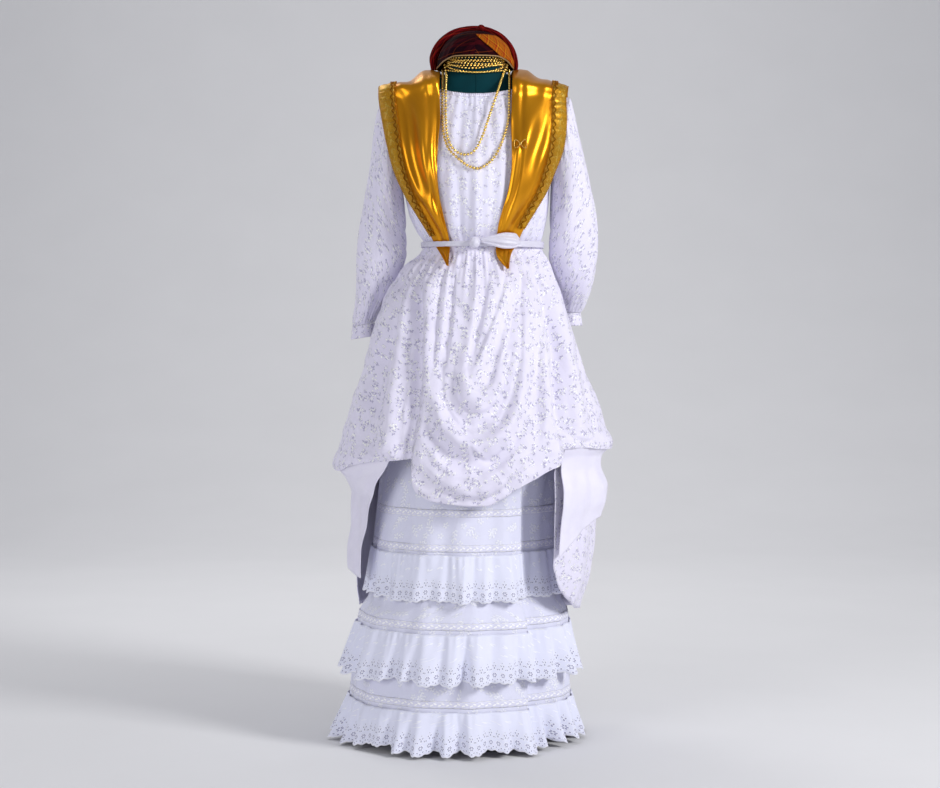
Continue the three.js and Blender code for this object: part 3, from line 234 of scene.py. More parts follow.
# A round tube of radius along a path of points; frames are carried along it so that it doesn't twist
def tubeAlong(name, path, radius, sides=8, loop=False):
    path = np.asarray(path, float)
    tangent = np.roll(path, -1, 0) - np.roll(path, 1, 0) if loop else np.gradient(path, axis=0)
    tangent /= np.linalg.norm(tangent, axis=1, keepdims=True)
    steep = (np.abs(tangent[:, 2]) > 0.9).any()
    up = np.tile([0.0, 1.0, 0.0] if steep else [0.0, 0.0, 1.0], (len(path), 1))
    side = np.cross(tangent, up)
    side /= np.maximum(np.linalg.norm(side, axis=1, keepdims=True), 1e-9)
    other = np.cross(side, tangent)
    a = np.arange(sides) * turn / sides
    ring = np.cos(a)[None, :, None] * side[:, None] + np.sin(a)[None, :, None] * other[:, None]
    rings = path[:, None] + ring * np.reshape(radius, (-1, 1, 1))
    if not loop:
        return ringSolid(name, rings)
    rows = len(path)
    r, c = (g.ravel() for g in np.meshgrid(np.arange(rows), np.arange(sides), indexing="ij"))
    n, m = (c + 1) % sides, (r + 1) % rows
    faces = np.stack([r * sides + c, m * sides + c, m * sides + n, r * sides + n], 1)
    uv = np.stack([(faces % sides) * 0.001, (faces // sides) * 0.003], -1)
    return meshOf(name, rings.reshape(-1, 3), [faces], {"cloth": uv, "edge": uv})


# Round beads at centres, one small ball of few faces copied to each of them
def beadsAt(name, centres, radius, around=8):
    ball = bmesh.new()
    bmesh.ops.create_uvsphere(ball, u_segments=around, v_segments=around * 3 // 4, radius=1.0)
    ballPoints = np.array([v.co[:] for v in ball.verts])
    ballFaces = [[v.index for v in f.verts] for f in ball.faces]
    ball.free()
    points = (np.asarray(centres)[:, None] + ballPoints[None] * radius).reshape(-1, 3)
    first = (np.arange(len(centres)) * len(ballPoints))[:, None, None]
    groups = [np.array([face for face in ballFaces if len(face) == corners]) for corners in (3, 4)]
    return meshOf(name, points, [(group[None] + first).reshape(-1, group.shape[1]) for group in groups])


# Points at equal distances along a path
def evenly(path, spacing, loop=False):
    path = np.vstack([path, path[:1]]) if loop else np.asarray(path)
    length = np.concatenate([[0], np.cumsum(np.linalg.norm(np.diff(path, axis=0), axis=1))])
    count = max(2, round(length[-1] / spacing))
    at = np.arange(count) * length[-1] / count if loop else np.linspace(0, length[-1], count)
    return np.stack([np.interp(at, length, path[:, k]) for k in range(3)], 1)


def linear(hexColour):
    c = np.array([int(hexColour[i : i + 2], 16) for i in (1, 3, 5)]) / 255
    return (*np.where(c <= 0.04045, c / 12.92, ((c + 0.055) / 1.055) ** 2.4).tolist(), 1.0)


# Adds a node: inputs are constants or links by socket, settings are its properties. Gives the first output
# that those settings leave in use.
def add(tree, kind, inputs=None, **settings):
    made = tree.nodes.new(kind)
    for key, value in settings.items():
        setattr(made, key, value)
    for key, value in (inputs or {}).items():
        if isinstance(value, bpy.types.NodeSocket):
            tree.links.new(value, made.inputs[key])
        else:
            made.inputs[key].default_value = value
    return next(output for output in made.outputs if output.enabled)


def newMaterial(name):
    material = bpy.data.materials.new(name)
    material.use_nodes = True
    tree = material.node_tree
    return material, tree, tree.nodes["Principled BSDF"]


# Sets the shader's sockets, and bump from a height in millimetres
def finishShader(tree, shader, height=None, distance=1.0, strength=1.0, **values):
    for key, value in values.items():
        socket = shader.inputs[key.replace("_", " ")]
        if isinstance(value, bpy.types.NodeSocket):
            tree.links.new(value, socket)
        else:
            socket.default_value = value
    if height is not None:
        relief = {"Height": height, "Distance": distance * mm, "Strength": strength}
        tree.links.new(add(tree, "ShaderNodeBump", relief), shader.inputs["Normal"])


# A union of ellipses (x, y, half width, half height, turn in degrees): 1 inside, 0 outside, soft edges
def ellipses(tree, place, shapes, edge=0.16):
    found = None
    for x, y, halfWidth, halfHeight, lean in shapes:
        spot = {"Vector": place, "Location": (x, y, 0), "Scale": (halfWidth, halfHeight, 1)}
        spot["Rotation"] = (0, 0, math.radians(lean))
        local = add(tree, "ShaderNodeMapping", spot, vector_type="TEXTURE")
        reach = add(tree, "ShaderNodeVectorMath", {0: local}, operation="LENGTH")
        spread = {"Value": reach, "From Min": 1 + edge, "From Max": 1 - edge}
        mask = add(tree, "ShaderNodeMapRange", spread, interpolation_type="SMOOTHSTEP")
        if found is None:
            found = mask
        else:
            found = add(tree, "ShaderNodeMath", {0: found, 1: mask}, operation="MAXIMUM")
    return found


# Places on the cloth where a motif is scattered and turned at random, repeat millimetres apart
def scatter(tree, repeat, looseness=0.45, shift=0.0):
    lengths = add(tree, "ShaderNodeUVMap", uv_map="cloth")
    size = {"Vector": lengths, "Scale": (1 / (repeat * mm),) * 3, "Location": (shift, shift * 0.7, 0)}
    cells = add(tree, "ShaderNodeMapping", size)
    near = {"Vector": cells, "Scale": 1.0, "Randomness": looseness}
    spots = add(tree, "ShaderNodeTexVoronoi", near, voronoi_dimensions="2D").node
    offset = add(tree, "ShaderNodeVectorMath", {0: cells, 1: spots.outputs["Position"]}, operation="SUBTRACT")
    chance = add(tree, "ShaderNodeSeparateColor", {"Color": spots.outputs["Color"]})
    angle = add(tree, "ShaderNodeMath", {0: chance, 1: turn}, operation="MULTIPLY")
    return add(tree, "ShaderNodeVectorRotate", {"Vector": offset, "Angle": angle}, rotation_type="Z_AXIS")


# Threads crossing at right angles: sine waves across and down the cloth
def weave(tree, spacing):
    lengths = add(tree, "ShaderNodeUVMap", uv_map="cloth")
    waves = {0: lengths, "Scale": turn / (spacing * mm)}
    scaled = add(tree, "ShaderNodeVectorMath", waves, operation="SCALE")
    split = add(tree, "ShaderNodeSeparateXYZ", {"Vector": scaled}).node
    warp = add(tree, "ShaderNodeMath", {0: split.outputs["X"]}, operation="SINE")
    weft = add(tree, "ShaderNodeMath", {0: split.outputs["Y"]}, operation="SINE")
    return add(tree, "ShaderNodeMath", {0: warp, 1: weft}, operation="MULTIPLY")


# Ellipses set round a circle with their long sides outwards, as petals are
def petalsOf(count, radius, halfWidth, halfHeight, y=0.0):
    angles = np.arange(count) * turn / count
    spots = [(radius * math.cos(a), y + radius * math.sin(a), math.degrees(a)) for a in angles]
    return [(x, y, halfWidth, halfHeight, lean) for x, y, lean in spots]


petal = petalsOf(5, 0.13, 0.085, 0.055)
sprigShapes = [(x + 0.1, y + 0.12, w, h, lean) for x, y, w, h, lean in petal] + [
    (-0.02, -0.08, 0.16, 0.018, 62),
    (-0.12, -0.25, 0.12, 0.018, 40),
    (0.1, -0.16, 0.095, 0.04, -20),
    (-0.17, -0.1, 0.095, 0.04, 120),
    (-0.04, -0.32, 0.09, 0.038, -35),
    (-0.27, -0.24, 0.09, 0.038, 95),
    (-0.25, -0.36, 0.07, 0.035, 30),
    (-0.16, 0.22, 0.07, 0.035, -40),
]
sprayShapes = [
    (0.0, 0.0, 0.3, 0.014, 0),
    (0.3, 0.02, 0.075, 0.04, 10),
    (0.2, 0.07, 0.08, 0.036, 42),
    (0.16, -0.07, 0.08, 0.036, -42),
    (0.03, 0.07, 0.08, 0.036, 42),
    (-0.02, -0.07, 0.08, 0.036, -42),
    (-0.14, 0.06, 0.07, 0.034, 42),
    (-0.18, -0.06, 0.07, 0.034, -42),
]


# White cotton lawn with machine embroidered flower sprigs: matt ground, and shiny raised thread with painted
# light:
# random patches of it carry a painted white highlight and the others a painted silvery grey shade
def sprigCotton(name, repeat, ground, thread, shade, shadedThread, shapes, shine=0.3):
    material, tree, shader = newMaterial(name)
    sprigs = ellipses(tree, scatter(tree, repeat), shapes)
    small = ellipses(tree, scatter(tree, repeat * 0.7, 0.9, 3.3), petal)
    motif = add(tree, "ShaderNodeMath", {0: sprigs, 1: small}, operation="MAXIMUM")
    threads = weave(tree, 1.1)
    lengths = add(tree, "ShaderNodeUVMap", uv_map="cloth")
    stitches = add(tree, "ShaderNodeTexNoise", {"Vector": lengths, "Scale": 900.0, "Detail": 2.0})
    mottle = add(tree, "ShaderNodeTexNoise", {"Vector": lengths, "Scale": 14.0, "Detail": 3.0})
    cloth = add(tree, "ShaderNodeMix", {0: mottle, 6: linear(ground), 7: linear(shade)}, data_type="RGBA")
    # the thread colour is painted light: a noise picks patches painted white as a highlight and patches
    # painted grey as shade
    glintPatches = add(tree, "ShaderNodeTexNoise", {"Vector": lengths, "Scale": 170.0, "Detail": 1.0})
    lit = add(tree, "ShaderNodeMapRange", {"Value": glintPatches, "From Min": 0.44, "From Max": 0.56})
    paintedThreadGlintAndShade = add(tree, "ShaderNodeMix", {0: lit, 6: linear(shadedThread), 7: linear(thread)}, data_type="RGBA")
    colour = add(tree, "ShaderNodeMix", {0: motif, 6: cloth, 7: paintedThreadGlintAndShade}, data_type="RGBA")
    rough = add(tree, "ShaderNodeMapRange", {"Value": motif, "To Min": 0.78, "To Max": shine})
    raised = add(tree, "ShaderNodeMath", {0: motif, 1: 1.0, 2: threads}, operation="MULTIPLY_ADD")
    ridged = add(tree, "ShaderNodeMath", {0: stitches, 1: 0.5, 2: motif}, operation="MULTIPLY_ADD")
    height = add(tree, "ShaderNodeMath", {0: raised, 1: 0.07, 2: ridged}, operation="MULTIPLY_ADD")
    finishShader(tree, shader, height, 0.7, 0.8, Base_Color=colour, Roughness=rough, Sheen_Weight=0.12)
    return material


gownSprigs = sprigCotton("embroideredCottonLawn", 31, "#ebe8f8", "#ffffff", "#dfdbf2", "#b4b0d0", sprigShapes)
bodiceSprigs = sprigCotton("paleSprigLawn", 31, "#ebe9f9", "#ffffff", "#dedcf3", "#c6c3de", sprigShapes)
petticoatSpray = sprigCotton(
    "sprayedCottonVoile", 46, "#e5e6f8", "#f6f7ff", "#dadbf0", "#eeeffc", sprayShapes, 0.5
)


# Plain cloth: close threads, a low even sheen, and slightly see-through where sheer is above 0
def plainSateen(name, colour, shade, rough, sheer=0.0):
    material, tree, shader = newMaterial(name)
    lengths = add(tree, "ShaderNodeUVMap", uv_map="cloth")
    mottle = add(tree, "ShaderNodeTexNoise", {"Vector": lengths, "Scale": 22.0, "Detail": 4.0})
    blended = add(tree, "ShaderNodeMix", {0: mottle, 6: linear(colour), 7: linear(shade)}, data_type="RGBA")
    looks = {"Base_Color": blended, "Roughness": rough, "Alpha": 1 - sheer}
    finishShader(tree, shader, weave(tree, 0.9), 0.05, 0.6, **looks)
    return material


sateen = plainSateen("plainSateen", "#efedfa", "#dedaf0", 0.5)
ribbonOrganza = plainSateen("organzaRibbon", "#f1f0fa", "#d3d0e6", 0.35, 0.2)
bindingCotton = plainSateen("cottonBinding", "#f0eefa", "#dcd8ee", 0.6)
pipingCotton = plainSateen("pipingCotton", "#b9a06a", "#7c4a30", 0.6)


# White broderie anglaise: crisp matt cotton, satin stitched rings round small punched holes in flower
# shapes, one to a scallop, and a corded scalloped edge
def eyeletCotton():
    material, tree, shader = newMaterial("broderieAnglaise")
    edge = add(tree, "ShaderNodeUVMap", uv_map="edge")
    split = add(tree, "ShaderNodeSeparateXYZ", {"Vector": edge}).node
    share = add(tree, "ShaderNodeMath", {0: split.outputs["X"]}, operation="FRACT")
    across = add(tree, "ShaderNodeMath", {0: share, 1: 0.5}, operation="SUBTRACT")
    up = add(tree, "ShaderNodeMath", {0: split.outputs["Y"], 1: 1 / 0.018}, operation="MULTIPLY")
    place = add(tree, "ShaderNodeCombineXYZ", {"X": across, "Y": up})
    ring = petalsOf(6, 0.19, 0.1, 0.075, 0.95)
    spots = ((-0.3, 0.42), (0.0, 0.3), (0.3, 0.42), (-0.4, 1.5), (0.4, 1.5))
    low = [(x, y, 0.08, 0.08, 0) for x, y in spots]
    high = [(0.0, 1.75, 0.08, 0.13, 0), (-0.16, 2.0, 0.07, 0.11, 35)]
    high = high + [(0.16, 2.0, 0.07, 0.11, -35), (0.0, 2.35, 0.06, 0.06, 0)]
    holes = ellipses(tree, place, ring + low + high, 0.12)
    grown = [(x, y, w * 1.65, h * 1.65, lean) for x, y, w, h, lean in ring + low + high]
    rims = ellipses(tree, place, grown, 0.1)
    cordPlace = {"Value": up, "From Min": 0.16, "From Max": 0.1}
    corded = add(tree, "ShaderNodeMapRange", cordPlace, interpolation_type="SMOOTHSTEP")
    leafPair = [(-0.12, 0, 0.14, 0.07, 40), (0.12, 0, 0.14, 0.07, -40)]
    leaves = ellipses(tree, scatter(tree, 24, 0.5, 1.7), leafPair)
    upper = add(tree, "ShaderNodeMapRange", {"Value": up, "From Min": 2.5, "From Max": 3.1})
    leaves = add(tree, "ShaderNodeMath", {0: leaves, 1: upper}, operation="MULTIPLY")
    sewn = add(tree, "ShaderNodeMath", {0: rims, 1: corded}, operation="MAXIMUM")
    sewn = add(tree, "ShaderNodeMath", {0: sewn, 1: leaves}, operation="MAXIMUM")
    tones = {0: sewn, 6: linear("#e3e5f8"), 7: linear("#f4f5ff")}
    cloth = add(tree, "ShaderNodeMix", tones, data_type="RGBA")
    # the holes are painted grey lavender, painted shade for the dark seen through them
    colour = add(tree, "ShaderNodeMix", {0: holes, 6: cloth, 7: linear("#a5a5c4")}, data_type="RGBA")
    height = add(tree, "ShaderNodeMath", {0: holes, 1: -2.0, 2: sewn}, operation="MULTIPLY_ADD")
    height = add(tree, "ShaderNodeMath", {0: weave(tree, 1.0), 1: 0.06, 2: height}, operation="MULTIPLY_ADD")
    finishShader(tree, shader, height, 0.4, 0.7, Base_Color=colour, Roughness=0.75, Sheen_Weight=0.1)
    return material


broderie = eyeletCotton()


# Insertion lace: raised oval pads that lean to and fro between two corded edges
def insertionLace():
    material, tree, shader = newMaterial("insertionLace")
    edge = add(tree, "ShaderNodeUVMap", uv_map="edge")
    split = add(tree, "ShaderNodeSeparateXYZ", {"Vector": edge}).node
    share = add(tree, "ShaderNodeMath", {0: split.outputs["X"]}, operation="FRACT")
    across = add(tree, "ShaderNodeMath", {0: share, 1: 0.5}, operation="SUBTRACT")
    up = add(tree, "ShaderNodeMath", {0: split.outputs["Y"], 1: 1 / 0.012}, operation="MULTIPLY")
    place = add(tree, "ShaderNodeCombineXYZ", {"X": across, "Y": up})
    ovals = [(-0.2, 0.5, 0.24, 0.13, 35), (0.22, 0.76, 0.24, 0.13, -35)]
    edges = [(0.0, 0.1, 0.42, 0.06, 0), (0.0, 1.16, 0.42, 0.06, 0)]
    pads = ellipses(tree, place, ovals + edges)
    tones = {0: pads, 6: linear("#dcdcef"), 7: linear("#fbfbff")}
    colour = add(tree, "ShaderNodeMix", tones, data_type="RGBA")
    finishShader(tree, shader, pads, 0.5, 0.8, Base_Color=colour, Roughness=0.5)
    return material


insertion = insertionLace()


# Golden polyester satin: long floats give a smooth coloured shine that runs along the folds
def satinGold():
    material, tree, shader = newMaterial("goldenSatin")
    lengths = add(tree, "ShaderNodeUVMap", uv_map="cloth")
    mottle = add(tree, "ShaderNodeTexNoise", {"Vector": lengths, "Scale": 9.0, "Detail": 3.0})
    tones = {0: mottle, 6: linear("#eaa420"), 7: linear("#b8720e")}
    colour = add(tree, "ShaderNodeMix", tones, data_type="RGBA")
    shine = {"Metallic": 0.75, "Roughness": 0.3, "Specular_IOR_Level": 0.2}
    finishShader(tree, shader, weave(tree, 0.8), 0.02, 0.4, Base_Color=colour, **shine)
    return material


goldenSatin = satinGold()


# Metallic golden lace: a net ground with raised shiny flowers and leaves
def laceGold():
    material, tree, shader = newMaterial("goldenLace")
    longLeaves = [(0.22, 0.28, 0.14, 0.06, 50), (-0.25, -0.25, 0.14, 0.06, 40)]
    shortLeaves = [(0.3, -0.2, 0.1, 0.05, -30), (-0.3, 0.2, 0.1, 0.05, -30)]
    motif = ellipses(tree, scatter(tree, 21, 0.3), petal + longLeaves + shortLeaves)
    lengths = add(tree, "ShaderNodeUVMap", uv_map="cloth")
    mesh = {"Vector": lengths, "Scale": 420.0, "Randomness": 0.2}
    net = add(tree, "ShaderNodeTexVoronoi", mesh, voronoi_dimensions="2D", feature="DISTANCE_TO_EDGE")
    strands = add(tree, "ShaderNodeMapRange", {"Value": net, "From Min": 0.22, "From Max": 0.1})
    tones = {0: strands, 6: linear("#c8860e"), 7: linear("#ffc636")}
    ground = add(tree, "ShaderNodeMix", tones, data_type="RGBA")
    colour = add(tree, "ShaderNodeMix", {0: motif, 6: ground, 7: linear("#ffdc66")}, data_type="RGBA")
    height = add(tree, "ShaderNodeMath", {0: motif, 1: 2.6, 2: strands}, operation="MULTIPLY_ADD")
    finishShader(tree, shader, height, 1.0, 1.0, Base_Color=colour, Metallic=0.7, Roughness=0.3)
    return material


goldenLace = laceGold()


# Madras cotton: dyed threads woven in checks, matt. Warp and weft stripes mix where they cross.
def madras(name, repeat, stops, lean=0.0):
    material, tree, shader = newMaterial(name)
    lengths = add(tree, "ShaderNodeUVMap", uv_map="cloth")
    placed = {"Vector": lengths, "Scale": (1 / (repeat * mm),) * 3, "Rotation": (0, 0, math.radians(lean))}
    split = add(tree, "ShaderNodeSeparateXYZ", {"Vector": add(tree, "ShaderNodeMapping", placed)}).node
    bands = []
    for axis in ("X", "Y"):
        share = add(tree, "ShaderNodeMath", {0: split.outputs[axis]}, operation="FRACT")
        ramp = add(tree, "ShaderNodeValToRGB", {"Fac": share}).node
        ramp.color_ramp.interpolation = "CONSTANT"
        while len(ramp.color_ramp.elements) < len(stops):
            ramp.color_ramp.elements.new(0.5)
        for element, (place, colour) in zip(ramp.color_ramp.elements, stops):
            element.position, element.color = place, linear(colour)
        bands.append(ramp.outputs["Color"])
    threads = weave(tree, 1.4)
    crossing = {"Value": threads, "From Min": -1.0, "To Min": 0.35, "To Max": 0.65}
    over = add(tree, "ShaderNodeMapRange", crossing)
    colour = add(tree, "ShaderNodeMix", {0: over, 6: bands[0], 7: bands[1]}, data_type="RGBA")
    finishShader(tree, shader, threads, 0.08, 0.7, Base_Color=colour, Roughness=0.85, Specular_IOR_Level=0.05)
    return material


darkStops = [
    (0.0, "#150308"), (0.3, "#36060e"), (0.52, "#0d0307"), (0.56, "#420810"),
    (0.7, "#1a0410"), (0.93, "#7a3410"), (0.96, "#150308"),
]
brightStops = [
    (0.0, "#a85a12"), (0.42, "#1c060a"), (0.46, "#a85a12"),
    (0.6, "#8e1e12"), (0.78, "#c07c1c"), (0.94, "#1c060a"),
]
rollStops = [
    (0.0, "#640810"), (0.3, "#14040a"), (0.42, "#8a0e18"),
    (0.64, "#9c400c"), (0.7, "#40060c"), (0.86, "#100408"),
]
madrasDark = madras("madrasDark", 62, darkStops, 8)
madrasBright = madras("madrasBright", 24, brightStops, 38)
madrasRoll = madras("madrasRoll", 40, rollStops, 30)


# Gold plated metal: polished, finely mottled with a deeper gold
def goldPlate(name, rough, bright, deep):
    material, tree, shader = newMaterial(name)
    place = add(tree, "ShaderNodeTexCoord").node.outputs["Object"]
    scratches = add(tree, "ShaderNodeTexNoise", {"Vector": place, "Scale": 260.0, "Detail": 3.0})
    colour = add(tree, "ShaderNodeMix", {0: scratches, 6: linear(bright), 7: linear(deep)}, data_type="RGBA")
    roughness = add(tree, "ShaderNodeMapRange", {"Value": scratches, "To Min": rough, "To Max": rough + 0.16})
    finishShader(tree, shader, scratches, 0.03, 0.3, Base_Color=colour, Metallic=1.0, Roughness=roughness)
    return material


goldBeads = goldPlate("goldPlatedBeads", 0.15, "#fbdf8c", "#e9c05c")
goldBow = goldPlate("goldPlatedWire", 0.24, "#d39a34", "#a86c14")
goldStitching = goldPlate("goldStitching", 0.34, "#b8750e", "#8a520a")


# Knitted polyester jersey over the form: deep teal, fine ribs, hardly any shine
def formJersey():
    material, tree, shader = newMaterial("tealJersey")
    place = add(tree, "ShaderNodeTexCoord").node.outputs["Object"]
    knit = {"Vector": place, "Scale": 320.0, "Distortion": 1.5, "Detail": 2.0}
    ribs = add(tree, "ShaderNodeTexWave", knit, bands_direction="X")
    mottle = add(tree, "ShaderNodeTexNoise", {"Vector": place, "Scale": 30.0, "Detail": 3.0})
    tones = {0: mottle, 6: linear("#003a42"), 7: linear("#002b32")}
    colour = add(tree, "ShaderNodeMix", tones, data_type="RGBA")
    finishShader(tree, shader, ribs, 0.1, 0.4, Base_Color=colour, Roughness=0.8, Specular_IOR_Level=0.12)
    return material


jersey = formJersey()


# Black enamelled steel: satin gloss with a slight orange peel
def enamel():
    material, tree, shader = newMaterial("blackEnamel")
    place = add(tree, "ShaderNodeTexCoord").node.outputs["Object"]
    peel = add(tree, "ShaderNodeTexNoise", {"Vector": place, "Scale": 180.0, "Detail": 2.0})
    dust = add(tree, "ShaderNodeTexNoise", {"Vector": place, "Scale": 12.0, "Detail": 5.0})
    tones = {0: dust, 6: linear("#232326"), 7: linear("#3a3a3e")}
    colour = add(tree, "ShaderNodeMix", tones, data_type="RGBA")
    rough = add(tree, "ShaderNodeMapRange", {"Value": dust, "To Min": 0.28, "To Max": 0.5})
    finishShader(tree, shader, peel, 0.05, 0.4, Base_Color=colour, Roughness=rough, Coat_Weight=0.3)
    return material


blackEnamel = enamel()
print("materials made")


# Gives a piece its materials and its body, and hides the solids it stands for
def dress(piece, materials, slotName, *nodes):
    for material in materials:
        piece.data.materials.append(material)
    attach(piece, "root")
    if nodes:
        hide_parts(*nodes)
    return piece


def grid(columns, rows, around=False):
    u = np.arange(columns) / columns if around else np.linspace(0, 1, columns)
    return np.meshgrid(u, np.linspace(0, 1, rows))


def area(piece):
    return sum(p.area for p in piece.data.polygons) / 2


def joined(node):
    return node.title().replace("_", "")


form = {
    "bottom": 780, "neckTop": 1440, "columns": 96, "rows": 110,
    "seam": 0.8, "seamAngles": (0, 180, -52, 52, 128, -128), "seamTop": 1318, "seamPoints": 90,
}
formSections = curveOf(
    (780, 150, 150, 104, 112, 2.2),
    (860, 156, 156, 106, 116, 2.2),
    (950, 138, 138, 96, 100, 2.1),
    (1035, 95, 96, 78, 74, 2),
    (1100, 116, 116, 96, 84, 2),
    (1165, 137, 137, 121, 96, 2.1),
    (1215, 147, 147, 122, 101, 2.2),
    (1275, 154, 154, 102, 100, 2.2),
    (1322, 161, 161, 78, 88, 2.3),
    (1346, 151, 151, 67, 76, 2.3),
    (1355, 128, 128, 64, 72, 2.2),
    (1370, 103, 103, 61, 67, 2),
    (1384, 73, 73, 58, 62, 2),
    (1394, 62, 62, 56, 58, 2),
    (1404, 59, 59, 55, 57, 2),
    (1440, 58, 58, 55, 57, 2),
)
u, v = grid(form["columns"], form["rows"], True)
z = mix(form["neckTop"], form["bottom"], v)
torso = ringSolid("dressForm", polar(turn * u, sectionRadius(formSections(z), turn * u), z))
dress(torso, [jersey], "form_cloth", "form_torso")
# the middle seams run up the neck, and the side seams end at the shoulder
for count, angle in enumerate(form["seamAngles"]):
    high = form["neckTop"] if abs(angle) in (0, 180) else form["seamTop"]
    z = np.linspace(high, form["bottom"], form["seamPoints"])
    a = np.full(form["seamPoints"], math.radians(angle))
    line = polar(a, sectionRadius(formSections(z), a) + 0.2, z)
    seam = tubeAlong(f"formSeam{count}", line, form["seam"], 6)
    dress(seam, [jersey], "form_cloth")


# Turns a profile of (radius, z) round the axis
def lathed(name, profile, columns=48):
    a = np.arange(columns) * turn / columns
    r, z = np.array(profile, float).T
    return ringSolid(name, polar(a[None], r[:, None], z[:, None]))


capProfile = [
    (4, 1477.1), (10, 1476), (18, 1472.7), (27, 1470), (36, 1465.4),
    (44, 1459), (49.2, 1452.3), (50, 1450.5), (50, 1440.3),
]
footProfile = [(28, 22), (153, 22), (159, 20.6), (163, 17.4), (165, 13.4), (165, 2), (163.5, 0)]
poleProfile = [
    (16, 779.7), (16, 420), (18.5, 417), (18.5, 385), (16, 382), (16, 60), (21, 54), (21, 24), (19, 22.3),
]
neckCap = lathed("neckCap", capProfile)
dress(neckCap, [blackEnamel], "stand_metal", "form_neck_cap")
foot = lathed("standFoot", footProfile)
dress(foot, [blackEnamel], "stand_metal", "stand_foot")
pole = lathed("standPole", poleProfile, 36)
dress(pole, [blackEnamel], "stand_metal", "stand_pole")
print("form made")

petticoat = {
    "columns": 200, "rows": 56, "top": 1005, "hem": 75, "cloth": 1.0,
    "pleatDepth": 24, "foldDepth": 2.6, "fineFoldDepth": 1.3,
}
waist = formSections(1005.0)[:4] + 3.2
petticoatSections = curveOf(
    (75, -32, 233, 233, 216, 208),
    (165, -29, 228, 228, 210, 203),
    (265, -25, 220, 220, 202, 196),
    (311, -24, 197, 197, 188, 186),
    (405, -22, 195, 195, 184, 180),
    (489, -18, 191, 191, 178, 172),
    (600, -12, 186, 186, 166, 160),
    (760, -3, 176, 176, 134, 140),
    (860, 0, 167, 167, 117, 127),
    (950, 0, 146, 146, 104, 109),
    (1005, 0, *waist),
)


# The petticoat's tube: a section, less the pleat that sets its right front back, plus soft long folds
def petticoatPoint(angle, z, out=0.0):
    section = petticoatSections(z)
    a = np.degrees(np.arctan2(np.sin(angle), np.cos(angle)))
    pleat = smooth(37, 43, a) * (1 - smooth(43, 86, a)) * smooth(640, 470, z) * petticoat["pleatDepth"]
    below = smooth(900, 560, z)
    folds = petticoat["foldDepth"] * below * np.sin(11 * angle + 1.4 * np.sin(2 * angle) + z / 260)
    folds = folds + petticoat["fineFoldDepth"] * below * np.sin(23 * angle - z / 190)
    return polar(angle, sectionRadius(section[..., 1:], angle) - pleat + folds + out, z, section[..., 0])


u, v = grid(petticoat["columns"], petticoat["rows"], True)
tubeRings = petticoatPoint(turn * u, mix(petticoat["top"], petticoat["hem"], v))
skirtTube = clothShell("petticoatTube", tubeRings, petticoat["cloth"], True)
dress(skirtTube, [petticoatSpray, sateen], "sheer_cotton", "petticoat_skirt")
insertionBand = {"columns": 336, "height": 15, "out": 0.55, "cloth": 0.4, "pucker": 0.3, "pads": 84}
insertions = {  # the middle height in mm and the cut length in metres
    "insertion_top": (489, 1.21), "insertion_upper": (418, 1.24),
    "insertion_middle": (262, 1.39), "insertion_lower": (106, 1.45),
}
for name, (middle, cutLength) in insertions.items():
    columns = insertionBand["columns"]
    u, v = grid(columns, 5, True)
    pucker = insertionBand["pucker"] * np.sin(60 * turn * u) * (1 - np.abs(2 * v - 1))
    z = middle + insertionBand["height"] / 2 - insertionBand["height"] * v
    ring = petticoatPoint(turn * u, z, insertionBand["out"] + pucker)
    padCount = np.arange(columns + 1)[None] / columns * insertionBand["pads"]
    trim = clothShell("lace" + joined(name), ring, insertionBand["cloth"], True, padCount)
    dress(trim, [insertion, sateen], "eyelet_cotton", name)

ruffleCloth = {"columns": 576, "rows": 16, "cloth": 0.9}
flounces = [
    {
        "node": "flounce_top", "top": 405, "hem": 313, "out": 13, "waves": 24, "depth": 7.5,
        "drift": 0.6, "phase": 0.4, "uneven": 1.0, "scallops": 84, "flat": (1.75, 0.1),
    },
    {
        "node": "flounce_middle", "top": 247, "hem": 152, "out": 23, "waves": 26, "depth": 10.5,
        "drift": 0.8, "phase": 1.7, "uneven": 1.9, "scallops": 96, "flat": (2.1, 0.105),
    },
    {
        "node": "flounce_hem", "top": 91, "hem": 14, "out": 25, "waves": 28, "depth": 12.5,
        "drift": 0.9, "phase": 2.6, "uneven": 2.2, "scallops": 104, "flat": (2.1, 0.08),
    },
]


# A flounce: out from the petticoat by more and more towards the hem, with broad waves, fine gathers that
# fade downwards, and a scalloped lower edge
def flouncePoint(f, angle, v):
    wave = np.cos(f["waves"] * angle + f["drift"] * np.sin(3 * angle + f["phase"]) + f["phase"])
    wave = wave * (0.75 + 0.25 * np.sin(5 * angle + f["phase"]))
    wave = wave * (1.15 + 0.45 * np.sin(9 * angle + 2 * np.sin(2 * angle) + f["phase"]))
    broad = 0.5 * np.cos(8 * angle + 2 * np.sin(2 * angle) + 2 * f["phase"])
    second = 0.2 * np.cos(round(1.7 * f["waves"]) * angle + 3 * np.sin(4 * angle) + f["phase"])
    fine = 1.2 * (1 - v) ** 2 * np.cos(70 * angle + 3 * np.sin(9 * angle)) * smooth(0.0, 0.06, v)
    out = mix(4, f["out"], v) + wave * mix(1.8, f["depth"], v**1.1)
    out = out + (second + broad) * f["depth"] * v**1.2 + fine
    z = mix(f["top"], f["hem"], v)
    scallop = np.abs(np.sin(f["scallops"] * angle / 2))
    point = petticoatPoint(angle, np.maximum(z, petticoat["hem"]), 0.0) + polar(angle, out, 0.0)
    lift = wave + 1.2 * broad + 0.8 * np.sin(7 * angle + 1.3 * f["phase"])
    point[..., 2] = z - 1.6 * v * (2 + f["uneven"] * lift) + 3.4 * (1 - scallop) * smooth(0.82, 1, v)
    return point


